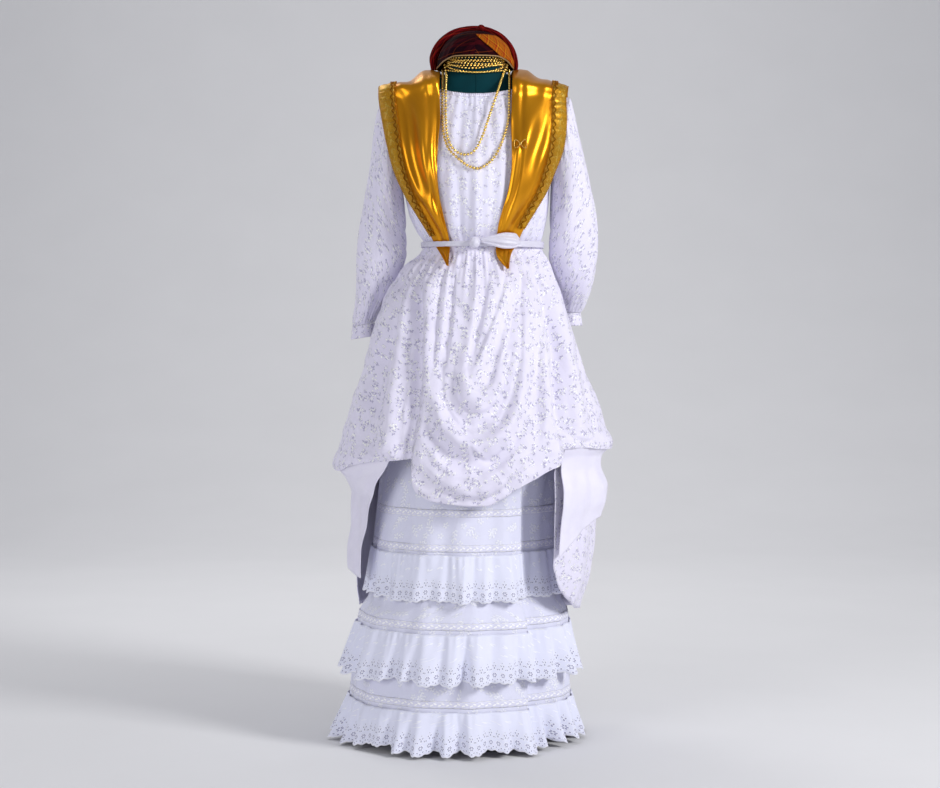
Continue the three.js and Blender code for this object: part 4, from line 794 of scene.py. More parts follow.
for f in flounces:
    columns = ruffleCloth["columns"]
    u, v = grid(columns, ruffleCloth["rows"], True)
    hemPhase = np.arange(columns + 1)[None] / columns * f["scallops"]
    rings = flouncePoint(f, turn * u, v**1.1)
    ruffle = clothShell("ruffle" + joined(f["node"]), rings, ruffleCloth["cloth"], True, hemPhase)
    dress(ruffle, [broderie, sateen], "eyelet_cotton", f["node"])
    print(ruffle.name, "area", round(area(ruffle), 3))
print("petticoat made, tube area", round(area(skirtTube), 3))

bodice = {
    "bottom": 1026, "armpit": 1212, "shoulder": 1345, "neckSide": 1388, "drop": 51, "dropBack": 14,
    "cutFront": 19, "cutBack": 17, "cloth": 1.2, "binding": 1.5,
}
bodiceSections = curveOf(
    (1026, 104, 131, 98, 91, 2),
    (1042, 107.5, 134, 103, 93.5, 2),
    (1060, 119, 139, 112, 100, 2),
    (1100, 138, 147, 126, 107, 2),
    (1160, 150, 151, 134, 112, 2.1),
    (1212, 155, 155, 133, 114, 2.2),
    (1275, 163, 163, 114, 111, 2.2),
    (1322, 169, 169, 88, 98, 2.3),
    (1345, 170, 170, 78, 88, 2.3),
    (1358, 140, 140, 74, 82, 2.2),
    (1373, 108, 108, 71, 78, 2.1),
    (1388, 80, 80, 69, 74, 2),
)


# How far the armhole cuts into a panel's side, in radians, at a height
def armholeCut(z, depth):
    share = np.clip((z - bodice["armpit"]) / (bodice["shoulder"] - bodice["armpit"]), 0, 1)
    return math.radians(depth) * np.sin(math.pi * share) ** 0.8


# The bodice: sections with gathers that are deepest at the waist, and soft creases
def bodicePoint(angle, z):
    amount = 2.7 * (0.35 + 0.65 * smooth(1028, 1055, z)) * (1 - 0.5 * smooth(1035, 1200, z))
    amount = amount * (1 - smooth(1335, 1375, z))
    gathers = amount * np.cos(13 * angle + 0.5 * np.sin(4 * angle))
    fine = 0.9 * (1 - smooth(1032, 1110, z)) * np.cos(52 * angle + 2 * np.sin(5 * angle))
    upper = 1.3 * smooth(1032, 1070, z) * (1 - smooth(1280, 1340, z))
    fine = fine + upper * np.cos(29 * angle + 1.6 * np.sin(3 * angle))
    soft = 1.1 * creases(angle * 130, z, 4, 60, 0.35) * smooth(1030, 1070, z) * (1 - smooth(1300, 1360, z))
    neck = 0.9 * smooth(1270, 1335, z) * (1 - smooth(1350, 1380, z)) * np.cos(46 * angle + np.sin(7 * angle))
    return polar(angle, sectionRadius(bodiceSections(z), angle) + gathers + fine + soft + neck, z)


def bodicePanel(facing, u, v):
    front = facing == 0
    across = 2 * u - 1
    top = bodice["neckSide"] - (bodice["drop"] if front else bodice["dropBack"]) * (1 - np.abs(across) ** 2.5)
    z = mix(top, bodice["bottom"], v)
    cut = armholeCut(z, bodice["cutFront"] if front else bodice["cutBack"])
    seam = 0.8 * (1 + 2 * smooth(1325, 1345, z))
    edge = math.pi / 2 - cut - seam / 2 / sectionRadius(bodiceSections(z), np.full(z.shape, math.pi / 2))
    return bodicePoint(facing + across * edge, z)


bodicePanels = {
    "bodiceFront": {"facing": 0, "node": "gown_bodice_front", "columns": 160, "flat": (0.52, 0.36)},
    "bodiceBack": {"facing": math.pi, "node": "gown_bodice_back", "columns": 120, "flat": (0.48, 0.37)},
}
for name, cut in bodicePanels.items():
    panel = clothShell(name, bodicePanel(cut["facing"], *grid(cut["columns"], 76)), bodice["cloth"])
    dress(panel, [bodiceSprigs, sateen], "sprigged_cotton", cut["node"])
    print(name, "area", round(area(panel), 3))
    edge = bodicePanel(cut["facing"], *grid(240, 1))[0]
    binding = tubeAlong(name + "Binding", edge + np.array([0, 0, 0.6]), bodice["binding"], 8)
    dress(binding, [bindingCotton], "sprigged_cotton")
# A narrow frill stands along the front neckline
u, v = grid(372, 6)
frillEdge = lineThrough(bodicePanel(0, *grid(60, 1))[0], 8)
pick = np.round(u[0] * (len(frillEdge) - 1)).astype(int)
frillBase = frillEdge[pick]
outward = frillBase * np.array([1, 1, 0]) / np.linalg.norm(frillBase[:, :2], axis=1)[:, None]
wave = 1.5 * np.cos(62 * turn * u) * (1 - v) ** 0.7
frill = frillBase[None] + outward[None] * (1.0 + wave + 1.2 * (1 - v))[..., None]
frill[..., 2] += 7.0 * (1 - v) - 1.5 + 0.5 * np.cos(62 * turn * u + 1) * (1 - v)
neckFrill = clothShell("neckFrill", frill, 0.6)
dress(neckFrill, [bindingCotton, sateen], "sprigged_cotton")
print("frill area", round(area(neckFrill), 5))
print("bodice made")

# each row: place along the sleeve, then x and z of its ring's inner and outer edge, y and the half depth
sleeves = {
    "right": curveOf(
        (1, 164, 1203, 197, 1341, 0, 54),
        (2, 160, 1188, 208, 1296, 2, 56),
        (3, 157, 1160, 224, 1235, 5, 55),
        (4, 155, 1120, 241, 1160, 10, 54),
        (5, 153, 1080, 250, 1098, 17, 53),
        (6, 152, 1030, 255, 1030, 28, 51),
        (7, 162, 980, 253, 985, 44, 48),
        (8, 173, 938, 244, 938, 64, 42),
        (9, 176, 908, 232, 908, 82, 33),
        (10, 178, 893, 224, 893, 90, 25),
    ),
    "left": curveOf(
        (1, -164, 1203, -198, 1341, 0, 54),
        (2, -159, 1188, -210, 1290, 2, 56),
        (3, -155.5, 1155, -221, 1205, 5, 55),
        (4, -149.5, 1115, -233, 1138, 9, 54),
        (5, -144, 1078, -241, 1080, 14, 53),
        (6, -144, 1032, -248, 1025, 22, 51),
        (7, -158, 982, -252, 978, 34, 48),
        (8, -184, 932, -256, 925, 46, 43),
        (9, -208, 890, -261, 881, 56, 33),
        (10, -216, 872, -262, 864, 60, 25),
    ),
}


def armholeLoop(side, a):
    z = mix(bodice["armpit"], bodice["shoulder"], (1 + np.cos(a)) / 2)
    forward = np.sin(a) < 0
    cut = np.where(forward, armholeCut(z, bodice["cutFront"]), armholeCut(z, bodice["cutBack"]))
    angle = np.where(forward, math.pi / 2 - cut, math.pi / 2 + cut)
    point = polar(angle, sectionRadius(bodiceSections(z), angle), z)
    point[..., 0] = side * (point[..., 0] + 2.2)
    point[..., 2] += 1.4 * np.cos(a)
    return point


# A sleeve's ring: its middle plus a slanting ellipse, widened by folds that turn slowly as they run down,
# gathers at the head and at the wrist, and soft creases
def sleevePoint(rings, side, a, t):
    innerX, innerZ, outerX, outerZ, y, depth = np.moveaxis(rings(np.maximum(t, 1)), -1, 0)
    middle = np.stack([(innerX + outerX) / 2, y, (innerZ + outerZ) / 2], -1)
    reach = np.stack([outerX, y, outerZ], -1) - middle
    wrist = 1.6 * smooth(6.5, 9, t) * (1 - smooth(9.4, 10, t)) * np.cos(8 * a)
    wrist = wrist + 1.3 * smooth(7.6, 9.4, t) * np.cos(23 * a + np.sin(3 * a))
    folds = 2 * np.cos(3 * a + 1.2 * t) * smooth(2, 4, t) * (1 - smooth(8, 10, t))
    head = 1.2 * smooth(0.8, 1.3, t) * (1 - smooth(1.5, 3.2, t)) * np.cos(19 * a)
    soft = 1.5 * creases(a * 45, t * 38, 21 + side, 75, 0.9) * smooth(1, 2, t) * (1 - smooth(9, 10, t))
    elbow = -2.4 * bell(t - 5.6 - 0.5 * np.cos(2 * a), 0.16) - 1.8 * bell(t - 4.9 + 0.4 * np.cos(a), 0.14)
    size = 1 + (wrist + folds + head + soft + elbow * (0.5 - 0.5 * np.cos(a + 0.6))) / 50
    point = middle + reach * (np.cos(a) * size)[..., None]
    point[..., 1] += depth * np.sin(a) * size
    return np.where((t >= 1)[..., None], point, mix(armholeLoop(side, a), point, np.clip(t, 0, 1)[..., None]))


for label, side in (("right", 1), ("left", -1)):
    rings = sleeves[label]
    u, v = grid(112, 96, True)
    surface = sleevePoint(rings, side, turn * u * side, 10 * v)
    sleeve = clothShell(f"sleeve{label.title()}", surface, 1.0, True)
    dress(sleeve, [gownSprigs, sateen], "sprigged_cotton", f"gown_sleeve_{label}")
    print(sleeve.name, "area", round(area(sleeve), 3))
    innerX, innerZ, outerX, outerZ, middleY, depth = rings(10.0)
    u, v = grid(96, 10, True)
    a = turn * u * side
    width = abs(outerX - innerX) / 2 + 1 + 3 * v + 0.5 * np.cos(5 * a) * v
    x = (innerX + outerX) / 2 + side * width * np.cos(a)
    z = (innerZ + outerZ) / 2 + (outerZ - innerZ) / 2 * np.cos(a) - 0.5 - 27 * v
    y = middleY + (depth + 1 + 3 * v) * np.sin(a)
    cuff = clothShell(f"cuff{label.title()}", np.stack([x, y, z], -1), 1.6, True)
    dress(cuff, [gownSprigs, sateen], "sprigged_cotton", f"gown_cuff_{label}")
    seamPath = evenly(armholeLoop(side, np.linspace(0, turn, 121)[:-1]), 4, True)
    seamPath[:, 0] -= side * 0.6
    armholeSeam = tubeAlong(f"armholeSeam{label.title()}", seamPath, 1.1, 8, True)
    dress(armholeSeam, [bindingCotton], "sprigged_cotton")
print("sleeves made")

skirt = {"top": 1032, "columns": 210, "rows": 124, "edge": 97, "roll": 5.5, "cloth": 1.1, "backDepth": 13}
skirtSections = curveOf(
    (500, 286, 280, 224, 240),
    (567, 295, 286, 230, 240),
    (609, 288, 284, 230, 236),
    (639, 281, 277, 227, 230),
    (687, 266, 264, 218, 222),
    (735, 246, 247, 208, 212),
    (775, 231, 228, 198, 204),
    (846, 217, 203, 180, 188),
    (872, 211, 192, 173, 180),
    (916, 196, 181, 160, 165),
    (956, 173, 167, 145, 146),
    (991, 148, 155, 124, 125),
    (1014, 119, 143, 109, 109),
    (1032, 109, 136, 104, 97.5),
)
# each fold: its depth and width in mm, then the x and z of points on its line
skirtFolds = [
    (13, 20, [(-84, 800), (-78, 709), (-58, 664), (-12, 634), (46, 657), (82, 719), (95, 800), (101, 880)]),
    (-8, 16, [(-60, 790), (-54, 714), (-34, 682), (-2, 668), (32, 680), (60, 726), (74, 790)]),
    (8, 18, [(-38, 850), (-30, 760), (-12, 722), (16, 718), (44, 744), (62, 800), (74, 870)]),
    (-7, 16, [(-94, 740), (-88, 668), (-58, 618), (4, 592), (66, 618), (104, 684), (114, 770)]),
    (8, 17, [(-110, 620), (-84, 574), (-30, 545), (20, 545), (72, 580), (112, 636)]),
    (8, 18, [(62, 985), (36, 890), (6, 800), (-16, 744)]),
    (-7, 17, [(84, 960), (72, 880), (44, 800), (26, 750)]),
    (-16, 13, [(-98, 1000), (-116, 950), (-121, 840), (-126, 740), (-144, 620), (-150, 570)]),
    (10, 17, [(-84, 1000), (-96, 940), (-97, 860), (-100, 760)]),
    (10, 18, [(-112, 1000), (-140, 930), (-152, 830), (-164, 730), (-176, 620)]),
    (-13, 14, [(-128, 1000), (-160, 905), (-186, 790), (-208, 700), (-220, 620)]),
    (9, 17, [(-150, 960), (-192, 850), (-230, 740), (-250, 640)]),
    (-17, 13, [(124, 990), (142, 930), (163, 846), (168, 735), (176, 640)]),
    (9, 16, [(104, 985), (120, 900), (134, 800), (140, 700), (144, 620)]),
    (10, 17, [(138, 985), (166, 900), (190, 810), (204, 710), (214, 640)]),
]
fineFolds = [
    (-3.5, 6, [(-70, 820), (-64, 720), (-44, 680), (-6, 652), (38, 668), (68, 722), (84, 800)]),
    (-3.0, 5, [(-46, 800), (-40, 738), (-22, 704), (6, 694), (34, 708), (54, 750), (66, 810)]),
    (3.0, 6, [(-24, 800), (-16, 752), (4, 738), (28, 748), (44, 790), (56, 850)]),
    (-3.0, 6, [(70, 1010), (50, 930), (20, 850), (-6, 790)]),
    (3.0, 7, [(90, 1005), (80, 930), (62, 850), (46, 800)]),
    (-2.5, 5, [(100, 1000), (92, 900), (88, 820), (80, 760)]),
    (-3.0, 6, [(-40, 1010), (-46, 940), (-52, 860), (-62, 790)]),
    (-2.5, 6, [(-62, 1012), (-74, 930), (-80, 850), (-86, 780)]),
    (2.5, 6, [(-52, 1010), (-60, 930), (-66, 860), (-74, 800)]),
    (2.5, 7, [(10, 1010), (0, 930), (-10, 850), (-24, 790)]),
    (-2.5, 6, [(30, 1012), (22, 940), (8, 870), (-6, 810)]),
    (-3.5, 7, [(-132, 900), (-138, 800), (-150, 700), (-160, 620)]),
    (-3.0, 7, [(-172, 880), (-196, 780), (-218, 700), (-236, 640)]),
    (-3.0, 6, [(-104, 900), (-108, 800), (-112, 720), (-124, 640)]),
    (-3.5, 7, [(118, 900), (126, 800), (128, 720), (126, 650)]),
    (-3.5, 7, [(152, 900), (178, 800), (190, 720), (196, 650)]),
    (-3.0, 7, [(190, 880), (218, 780), (236, 700), (246, 640)]),
    (-4.0, 8, [(-100, 585), (-70, 552), (-30, 527), (20, 525), (66, 556), (104, 606)]),
    (3.0, 6, [(-96, 640), (-70, 596), (-30, 570), (20, 570), (64, 600), (96, 650)]),
    (-2.5, 6, [(-16, 640), (0, 612), (26, 600), (56, 622)]),
    (-2.5, 6, [(-230, 660), (-212, 622), (-184, 600), (-160, 596)]),
    (-2.5, 6, [(170, 670), (200, 640), (228, 634), (250, 650)]),
]


# The overskirt's front: sections with the folds that follow lines, gathers under the waist and soft creases
def skirtPoint(angle, z, out=0.0, fine=True):
    radius = sectionRadius(skirtSections(z), angle)
    x = radius * np.sin(angle)
    gathers = 2.2 * smooth(1026, 1000, z) * smooth(880, 990, z) * np.cos(34 * angle + np.sin(7 * angle))
    total = 1.15 * foldDepth(skirtFolds, x, z) + gathers
    if fine:
        total = total + 1.9 * foldDepth(fineFolds, x, z, 0.45) * smooth(1026, 990, z)
        total = total + 1.5 * creases(x, z, 9, 52, 0.9) * smooth(1020, 960, z)
        puckers = 0.9 * smooth(1030, 1010, z) * smooth(900, 1000, z)
        total = total + puckers * np.cos(71 * angle + 2 * np.sin(6 * angle))
    return polar(angle, radius + total + out, z)


frontHem = curveOf(
    (-100, 566), (-80, 566), (-66, 582), (-54, 592), (-40, 598), (-33.5, 602), (-31.5, 540),
    (-25, 523), (-14, 515), (-3, 511), (5, 511), (14, 528), (23, 550), (31, 567), (38, 580),
    (42.5, 587), (44.5, 619), (55, 621), (68, 615), (82, 611), (100, 608),
)
u, v = grid(skirt["columns"], skirt["rows"])
across = 2 * u - 1
angleRound = skirt["edge"] * (0.72 * across + 0.28 * across**3)
hemZ = frontHem(angleRound)[..., 0]
z = mix(skirt["top"], hemZ, v)
# the caught-up sides puff out just above their hems, and the hem's gathering stitches wrinkle them
atSide = 1 - smooth(-40, -33, angleRound) * (1 - smooth(40, 46, angleRound))
up = (z - hemZ) / mix(26, 40, atSide)
puff = mix(2.0, 5.5, atSide) * np.sin(math.pi * np.clip(up, 0, 1)) ** 0.8
a = np.radians(angleRound)
wrinkle = atSide * 1.5 * (1 - smooth(0, 1.6, up)) * np.sin(a * 118 + 2 * np.sin(a * 21))
front = skirtPoint(a, z, puff + wrinkle)
# The hem rolls under, more in the swag than over the cascades
w = np.linspace(0, 1, 10)[1:, None]
edgeAngle = angleRound[-1][None]
size = mix(0.9, skirt["roll"], smooth(-30, -24, edgeAngle) * (1 - smooth(32, 40, edgeAngle)))
inward = -front[-1] * np.array([1, 1, 0]) / np.linalg.norm(front[-1, :, :2], axis=1)[:, None]
rolled = front[-1][None] + inward[None] * (size * (1 - np.cos(math.pi * w)))[..., None]
rolled[..., 2] -= (size * np.sin(math.pi * w)) * 0.7
skirtFront = clothShell("skirtFront", np.concatenate([front, rolled]), skirt["cloth"])
dress(skirtFront, [gownSprigs, sateen], "sprigged_cotton", "gown_skirt_front")
print("skirtFront area", round(area(skirtFront), 3))

backSections = curveOf(
    (240, 250, 212, 208, 268),
    (281, 254, 218, 208, 272),
    (309, 258, 227, 209, 274),
    (342, 259, 237, 210, 274),
    (368, 261, 241, 211, 273),
    (413, 257, 248, 212, 270),
    (458, 250, 250, 212, 266),
    (517, 250, 254, 212, 260),
    (600, 244, 246, 206, 246),
    (700, 228, 228, 190, 226),
    (775, 208, 206, 174, 206),
    (846, 190, 186, 158, 184),
    (872, 184, 176, 151, 176),
    (916, 168, 168, 140, 158),
    (956, 156, 158, 128, 138),
    (991, 136, 142, 112, 118),
    (1014, 116, 140, 104, 106),
    (1032, 109, 136, 104, 97.5),
)
backHem = curveOf(
    (44, 378), (50, 335), (58, 305), (70, 282), (90, 272), (135, 256), (180, 246), (225, 256), (262, 272)
)
backStart = {"low": 44, "middle": 66, "high": 98, "still": 124, "end": 262}


# The overskirt's back: long folds that open downwards, seventeen to a full round, finer ones between, and
# soft creases
def backPoint(degreesRound, z):
    opened = smooth(95, 120, degreesRound) * (1 - smooth(245, 258, degreesRound))
    down = np.clip((skirt["top"] - z) / 700, 0, 1)
    depth = skirt["backDepth"] * down**0.7 * mix(0.25, 1, opened)
    folds = depth * np.cos(np.radians(17 * degreesRound) + np.sin(np.radians(3 * degreesRound)))
    a = np.radians(degreesRound)
    fine = 0.2 * depth * np.cos(39 * a + 2 * np.sin(5 * a))
    fine = fine + 1.4 * creases(a * 220, z, 31, 90, 0.3) * smooth(1020, 950, z)
    waistGathers = 1.0 * smooth(1030, 1010, z) * smooth(900, 1000, z) * np.cos(70 * a)
    radius = sectionRadius(backSections(z), a) + folds + fine * mix(0.3, 1, opened) + waistGathers
    return polar(a, radius, z)


u, v = grid(216, 84)
hemAngle = mix(backStart["low"], backStart["end"], u)
z = mix(skirt["top"], backHem(hemAngle)[..., 0], v)
middle = mix(backStart["low"], backStart["middle"], smooth(560, 700, z))
start = mix(middle, backStart["high"], smooth(880, 990, z))
pushed = np.minimum(1, (hemAngle - backStart["low"]) / (backStart["still"] - backStart["low"]))
roundAngle = np.where(hemAngle < backStart["still"], mix(start, backStart["still"], pushed), hemAngle)
skirtBack = clothShell("skirtBack", backPoint(roundAngle, z), skirt["cloth"])
dress(skirtBack, [gownSprigs, sateen], "sprigged_cotton", "gown_skirt_back")
print("skirtBack area", round(area(skirtBack), 3))

cascades = {
    "left": {
        "sections": curveOf(
            (335, 262, 262, 232, 300), (374, 268, 268, 232, 300), (397, 268, 268, 230, 300),
            (458, 260, 260, 228, 300), (517, 260, 260, 226, 300), (545, 272, 272, 226, 300),
            (572, 281, 281, 219, 300), (600, 276, 276, 215, 300),
        ),
        "edges": curveOf((0, -99, -43), (0.3, -99, -57), (0.6, -97, -64), (1, -93, -70)),
        "lift": 9,
        "bottom": curveOf((-99, 372), (-84, 360), (-70, 345), (-43, 340)),
        "waves": 13,
        "phase": 0.6,
        "flat": (0.24, 0.25),
    },
    "right": {
        "sections": curveOf(
            (400, 257, 257, 224, 300), (443, 258, 258, 224, 300), (471, 262, 262, 225, 300),
            (506, 274, 274, 226, 300), (532, 276, 276, 226, 300), (575, 262, 262, 222, 300),
            (612, 268, 268, 220, 300), (640, 262, 262, 214, 300),
        ),
        "edges": curveOf((0, 46, 98), (0.5, 45, 97), (1, 44, 95)),
        "lift": 5,
        "bottom": curveOf((44, 398), (55, 432), (66, 454), (76, 470), (98, 484)),
        "waves": 12,
        "phase": 2.4,
        "flat": (0.27, 0.21),
    },
}
for label, c in cascades.items():
    u, v = grid(84, 70)
    ends = c["edges"](v)
    degreesRound = mix(ends[..., 0], ends[..., 1], u)
    a = np.radians(degreesRound)
    top = frontHem(degreesRound)[..., 0] + c["lift"]
    z = mix(top, c["bottom"](degreesRound)[..., 0], v)
    ripple = 4 * smooth(0.1, 0.5, v) * np.cos(np.radians(c["waves"] * degreesRound) + c["phase"])
    ripple = ripple + 1.6 * smooth(0.05, 0.4, v) * creases(a * 250, z, 51, 55, 0.35)
    own = polar(a, sectionRadius(c["sections"](z), a) + ripple, z)
    sewn = skirtPoint(a, z, -1.1 - 2.6, fine=False)
    panel = mix(own, sewn, (1 - smooth(0, 0.14, v))[..., None])
    cascade = clothShell(f"cascade{label.title()}", panel, skirt["cloth"])
    dress(cascade, [sateen, gownSprigs], "plain_sateen", f"cascade_{label}")
    print(cascade.name, "area", round(area(cascade), 4))
print("overskirt made")

drapeSections = curveOf(
    (975, 168, 170, 146, 150, 2.1),
    (995, 154, 162, 133, 140, 2.1),
    (1012, 128, 148, 121, 130, 2.1),
    (1024, 115, 138, 112.5, 118, 2.1),
    (1034, 112, 134, 109, 112, 2.1),
    (1050, 118, 140, 113, 110, 2.1),
    (1075, 136, 150, 124, 114, 2.1),
    (1100, 150, 155, 133, 118, 2.1),
    (1160, 180, 178, 139.5, 124, 2.3),
    (1212, 195, 192, 139, 127, 2.4),
    (1275, 205, 201, 121, 125, 2.5),
    (1322, 207, 203, 99.5, 114, 2.5),
    (1350, 205, 200, 88, 104, 2.5),
    (1363, 201, 192, 86, 100, 2.5),
    (1370, 172, 172, 84, 97, 2.5),
    (1379, 137, 143, 82, 94, 2.5),
    (1386, 118, 124, 80, 91, 2.5),
    (1392, 102, 108, 79, 89, 2.5),
    (1396, 88, 92, 78, 88, 2.5),
    (1398, 78, 78, 76, 87, 2.5),
)
ridgeHeights = np.array([1398, 1396, 1392, 1386, 1379, 1370, 1363], float)
# each row: x and z of its inner and outer end, then -1 in front, 1 behind or 0 on the shoulder
foulardRows = np.array(
    [
        (-57, 990, -61, 992, -1), (-55, 1012, -73, 1014, -1), (-54, 1032, -84, 1032, -1),
        (-58, 1056, -94, 1052, -1), (-67, 1092, -118, 1090, -1), (-75, 1135, -144, 1132, -1),
        (-79, 1185, -166, 1180, -1), (-78, 1235, -180, 1232, -1), (-74, 1285, -191, 1286, -1),
        (-74.5, 1335, -199, 1332, -1), (-75, 1374, -200, 1356, -1), (-76, 0, -201, 0, 0),
        (-72, 1395, -201, 1356, 1), (-64, 1395, -198, 1325, 1), (-54, 1395, -168, 1266, 1),
        (-36, 1396, -112, 1180, 1), (-18, 1397, -56, 1108, 1), (0, 1397, 0, 1052, 1),
        (18, 1397, 56, 1108, 1), (36, 1396, 112, 1180, 1), (54, 1395, 164, 1266, 1),
        (64, 1395, 188, 1325, 1), (72, 1395, 191, 1355, 1), (76, 0, 192, 0, 0),
        (74, 1374, 188, 1355, -1), (73, 1335, 184, 1334, -1), (71, 1285, 184, 1286, -1),
        (72, 1235, 178, 1232, -1), (71, 1185, 162, 1186, -1), (64, 1140, 144, 1143, -1),
        (54, 1105, 122, 1106, -1), (45, 1070, 98, 1066, -1), (41, 1036, 84, 1036, -1),
        (42, 1012, 72, 1014, -1), (62, 984, 67, 985, -1),
    ],
    float,
)


# A foulard point by row and share from the outer edge: on the drape's section in front or behind, or on the
# shoulder's ridge line
def foulardGrid(shares):
    across = (1 - shares)[None]
    facing = foulardRows[:, 4:5]
    x = mix(foulardRows[:, 0:1], foulardRows[:, 2:3], across)
    z = mix(foulardRows[:, 1:2], foulardRows[:, 3:4], across)
    section = drapeSections(np.where(facing == 0, 1300, z))
    width = np.where(x < 0, section[..., 0], section[..., 1])
    power = section[..., 4]
    share = np.minimum(1, np.abs(x) / width)
    depth = np.where(facing < 0, section[..., 2], section[..., 3]) * (1 - share**power) ** (1 / power)
    reaches = drapeSections(ridgeHeights)
    leftTop, rightTop = (np.interp(np.abs(x), reaches[:, k], ridgeHeights) for k in (0, 1))
    top = np.where(x < 0, leftTop, rightTop)
    y = np.where(facing == 0, 4, facing * depth)
    row = np.arange(len(foulardRows))[:, None]
    free = smooth(2, 5, row) * (1 - smooth(29, 32, row))
    lift = 3.2 * free * (1 - np.cos(4 * math.pi * across)) * smooth(0.2, 0.5, shares)[None]
    y = y + facing * lift
    z = np.where(facing == 0, top + lift, z)
    return np.stack([x, y, z], -1)


foulard = {
    "across": 48, "between": 12, "satin": 0.9, "lace": 0.7, "laceShare": 0.25, "laceOut": 1.7,
    "ruche": 1.1, "edgeBead": 1.5, "edgeSpacing": 3.6, "trailBead": 1.5, "trailSpacing": 2.6, "picot": 1.2,
}
lastRow = len(foulardRows) - 1
shares = np.linspace(1, 0, foulard["across"])
rowsDone = lineThrough(foulardGrid(shares), foulard["between"])[::-1]
rowPlace = np.linspace(lastRow, 0, len(rowsDone))[:, None]
# long soft folds run along the satin and fade at its tips, and they are shallower over the shoulders
free = smooth(1.5, 5, rowPlace) * (1 - smooth(29, 32.5, rowPlace))
s = shares[None]
sweep = s + 0.05 * np.sin(rowPlace / 1.9) + 0.03 * np.sin(rowPlace / 0.8 + 5 * s)
fromTip = np.minimum(rowPlace, lastRow - rowPlace)
longFolds = 1.8 * np.cos(turn * (1.2 * sweep + 0.1))
longFolds = longFolds + 3.3 * np.cos(turn * (1.7 * s + 0.24 * fromTip + 0.12 * np.sin(rowPlace * 1.3)))
longFolds = longFolds * mix(1.5, 1.0, smooth(11, 20, rowPlace)) * smooth(0.25, 0.42, s)
longFolds = longFolds * (1 - smooth(0.95, 1, s)) + 1.0 * creases(s * 120, rowPlace * 38, 77, 80, 0.7)
longFolds = longFolds - 3.0 * bell(s - 0.80, 0.045) + 1.6 * bell(s - 0.9, 0.05)
leftRidge, rightRidge = np.flatnonzero(foulardRows[:, 4] == 0)
longFolds = longFolds * (1 - 0.7 * bell(rowPlace - leftRidge, 1.5) - 0.7 * bell(rowPlace - rightRidge, 1.5))
# the grid for the shell has rows that run out from the neck and columns along the foulard
sheetGrid = np.transpose(rowsDone, (1, 0, 2))
along = np.gradient(sheetGrid, axis=1)
normals = np.cross(np.gradient(sheetGrid, axis=0), along)
normals /= np.maximum(np.linalg.norm(normals, axis=2, keepdims=True), 1e-9)
crumple = 1.1 * creases(s * 60, rowPlace * 24, 78, 17, 0.9) * (1 - smooth(0.8, 1.5, fromTip))
folded = sheetGrid + normals * (free * longFolds + crumple + 0.2).T[..., None]
satin = clothShell("foulardSatin", folded, foulard["satin"])
dress(satin, [goldenSatin, goldenSatin], "gold_satin", "foulard")
print("foulard area", round(area(satin), 3))
laceColumns = slice(3 * foulard["between"], len(rowsDone) - 3 * foulard["between"])
laceOuter = [k for k, share in enumerate(shares) if share <= foulard["laceShare"] + 0.02]
laceBase = folded[laceOuter[0] :, laceColumns]
laceNormals = normals[laceOuter[0] :, laceColumns]
laceRow = rowPlace[laceColumns, 0][None]
laceAcross = np.linspace(0, 1, len(laceBase))[:, None]
uneven = 1 + 0.4 * np.sin(9 * laceAcross + laceRow * 3)
ruche = np.cos(laceRow * 31) + 0.7 * np.cos(laceRow * 19 + 2)
ruche = foulard["ruche"] * ruche * np.sin(math.pi * laceAcross) ** 0.5 * uneven
laceStrip = laceBase + laceNormals * (foulard["laceOut"] + ruche + 0.5)[..., None]
lace = clothShell("foulardLace", laceStrip, foulard["lace"])
dress(lace, [goldenLace, goldenLace], "gold_lace", "foulard_lace")
print("lace area", round(area(lace), 4))


# Directions known at even places along a line, taken at count even places
def spreadOver(count, directions):
    at, known = np.linspace(0, 1, count), np.linspace(0, 1, len(directions))
    return np.stack([np.interp(at, known, directions[:, k]) for k in range(3)], 1)


# small beads are sewn in scallops along the lace's inner edge with a waving stitched trail beside them, and a
# row of picots runs along its outer edge
innerPath = evenly(laceStrip[0], 1.0)
steps = np.arange(len(innerPath)) * math.pi
scallop = 4.2 * np.abs(np.sin(steps / 16))
toward = spreadOver(len(innerPath), laceStrip[1] - laceStrip[0])
toward /= np.linalg.norm(toward, axis=1, keepdims=True)
outNormal = spreadOver(len(innerPath), laceNormals[0])
scalloped = innerPath - toward * scallop[:, None] + outNormal * 0.7
edgeBeads = beadsAt("laceBeads", evenly(scalloped, foulard["edgeSpacing"]), foulard["edgeBead"], 6)
dress(edgeBeads, [goldBow], "gold_metal")
trail = innerPath + toward * (5 + 3.2 * np.sin(steps / 8))[:, None] + outNormal * 1.3
stitches = beadsAt("laceTrail", evenly(trail, foulard["trailSpacing"]), foulard["trailBead"], 6)
dress(stitches, [goldStitching], "gold_lace")
picots = beadsAt("lacePicots", evenly(laceStrip[-1], foulard["edgeSpacing"]), foulard["picot"], 6)
dress(picots, [goldBow], "gold_lace")
print("foulard made")

belt = {"middle": 1035, "left": 115, "right": 142, "front": 117.6, "back": 103, "power": 2.1, "cloth": 1.2}
beltSection = np.array([belt["left"], belt["right"], belt["front"], belt["back"], belt["power"]])
u, v = grid(240, 9, True)
a = turn * u
width = mix(10, 14, (1 - np.cos(a + 0.6)) / 2)
pleats = 0.5 * np.cos(3 * turn * v + 0.8 * np.sin(3 * a)) + 0.35 * np.cos(41 * a + 6 * v)
radius = sectionRadius(np.broadcast_to(beltSection, a.shape + (5,)), a) + pleats
ring = polar(a, radius, belt["middle"] + width * (0.5 - v))
band = clothShell("beltBand", ring, belt["cloth"], True)
dress(band, [ribbonOrganza, sateen], "plain_sateen", "belt_band")
print("belt area", round(area(band), 4))


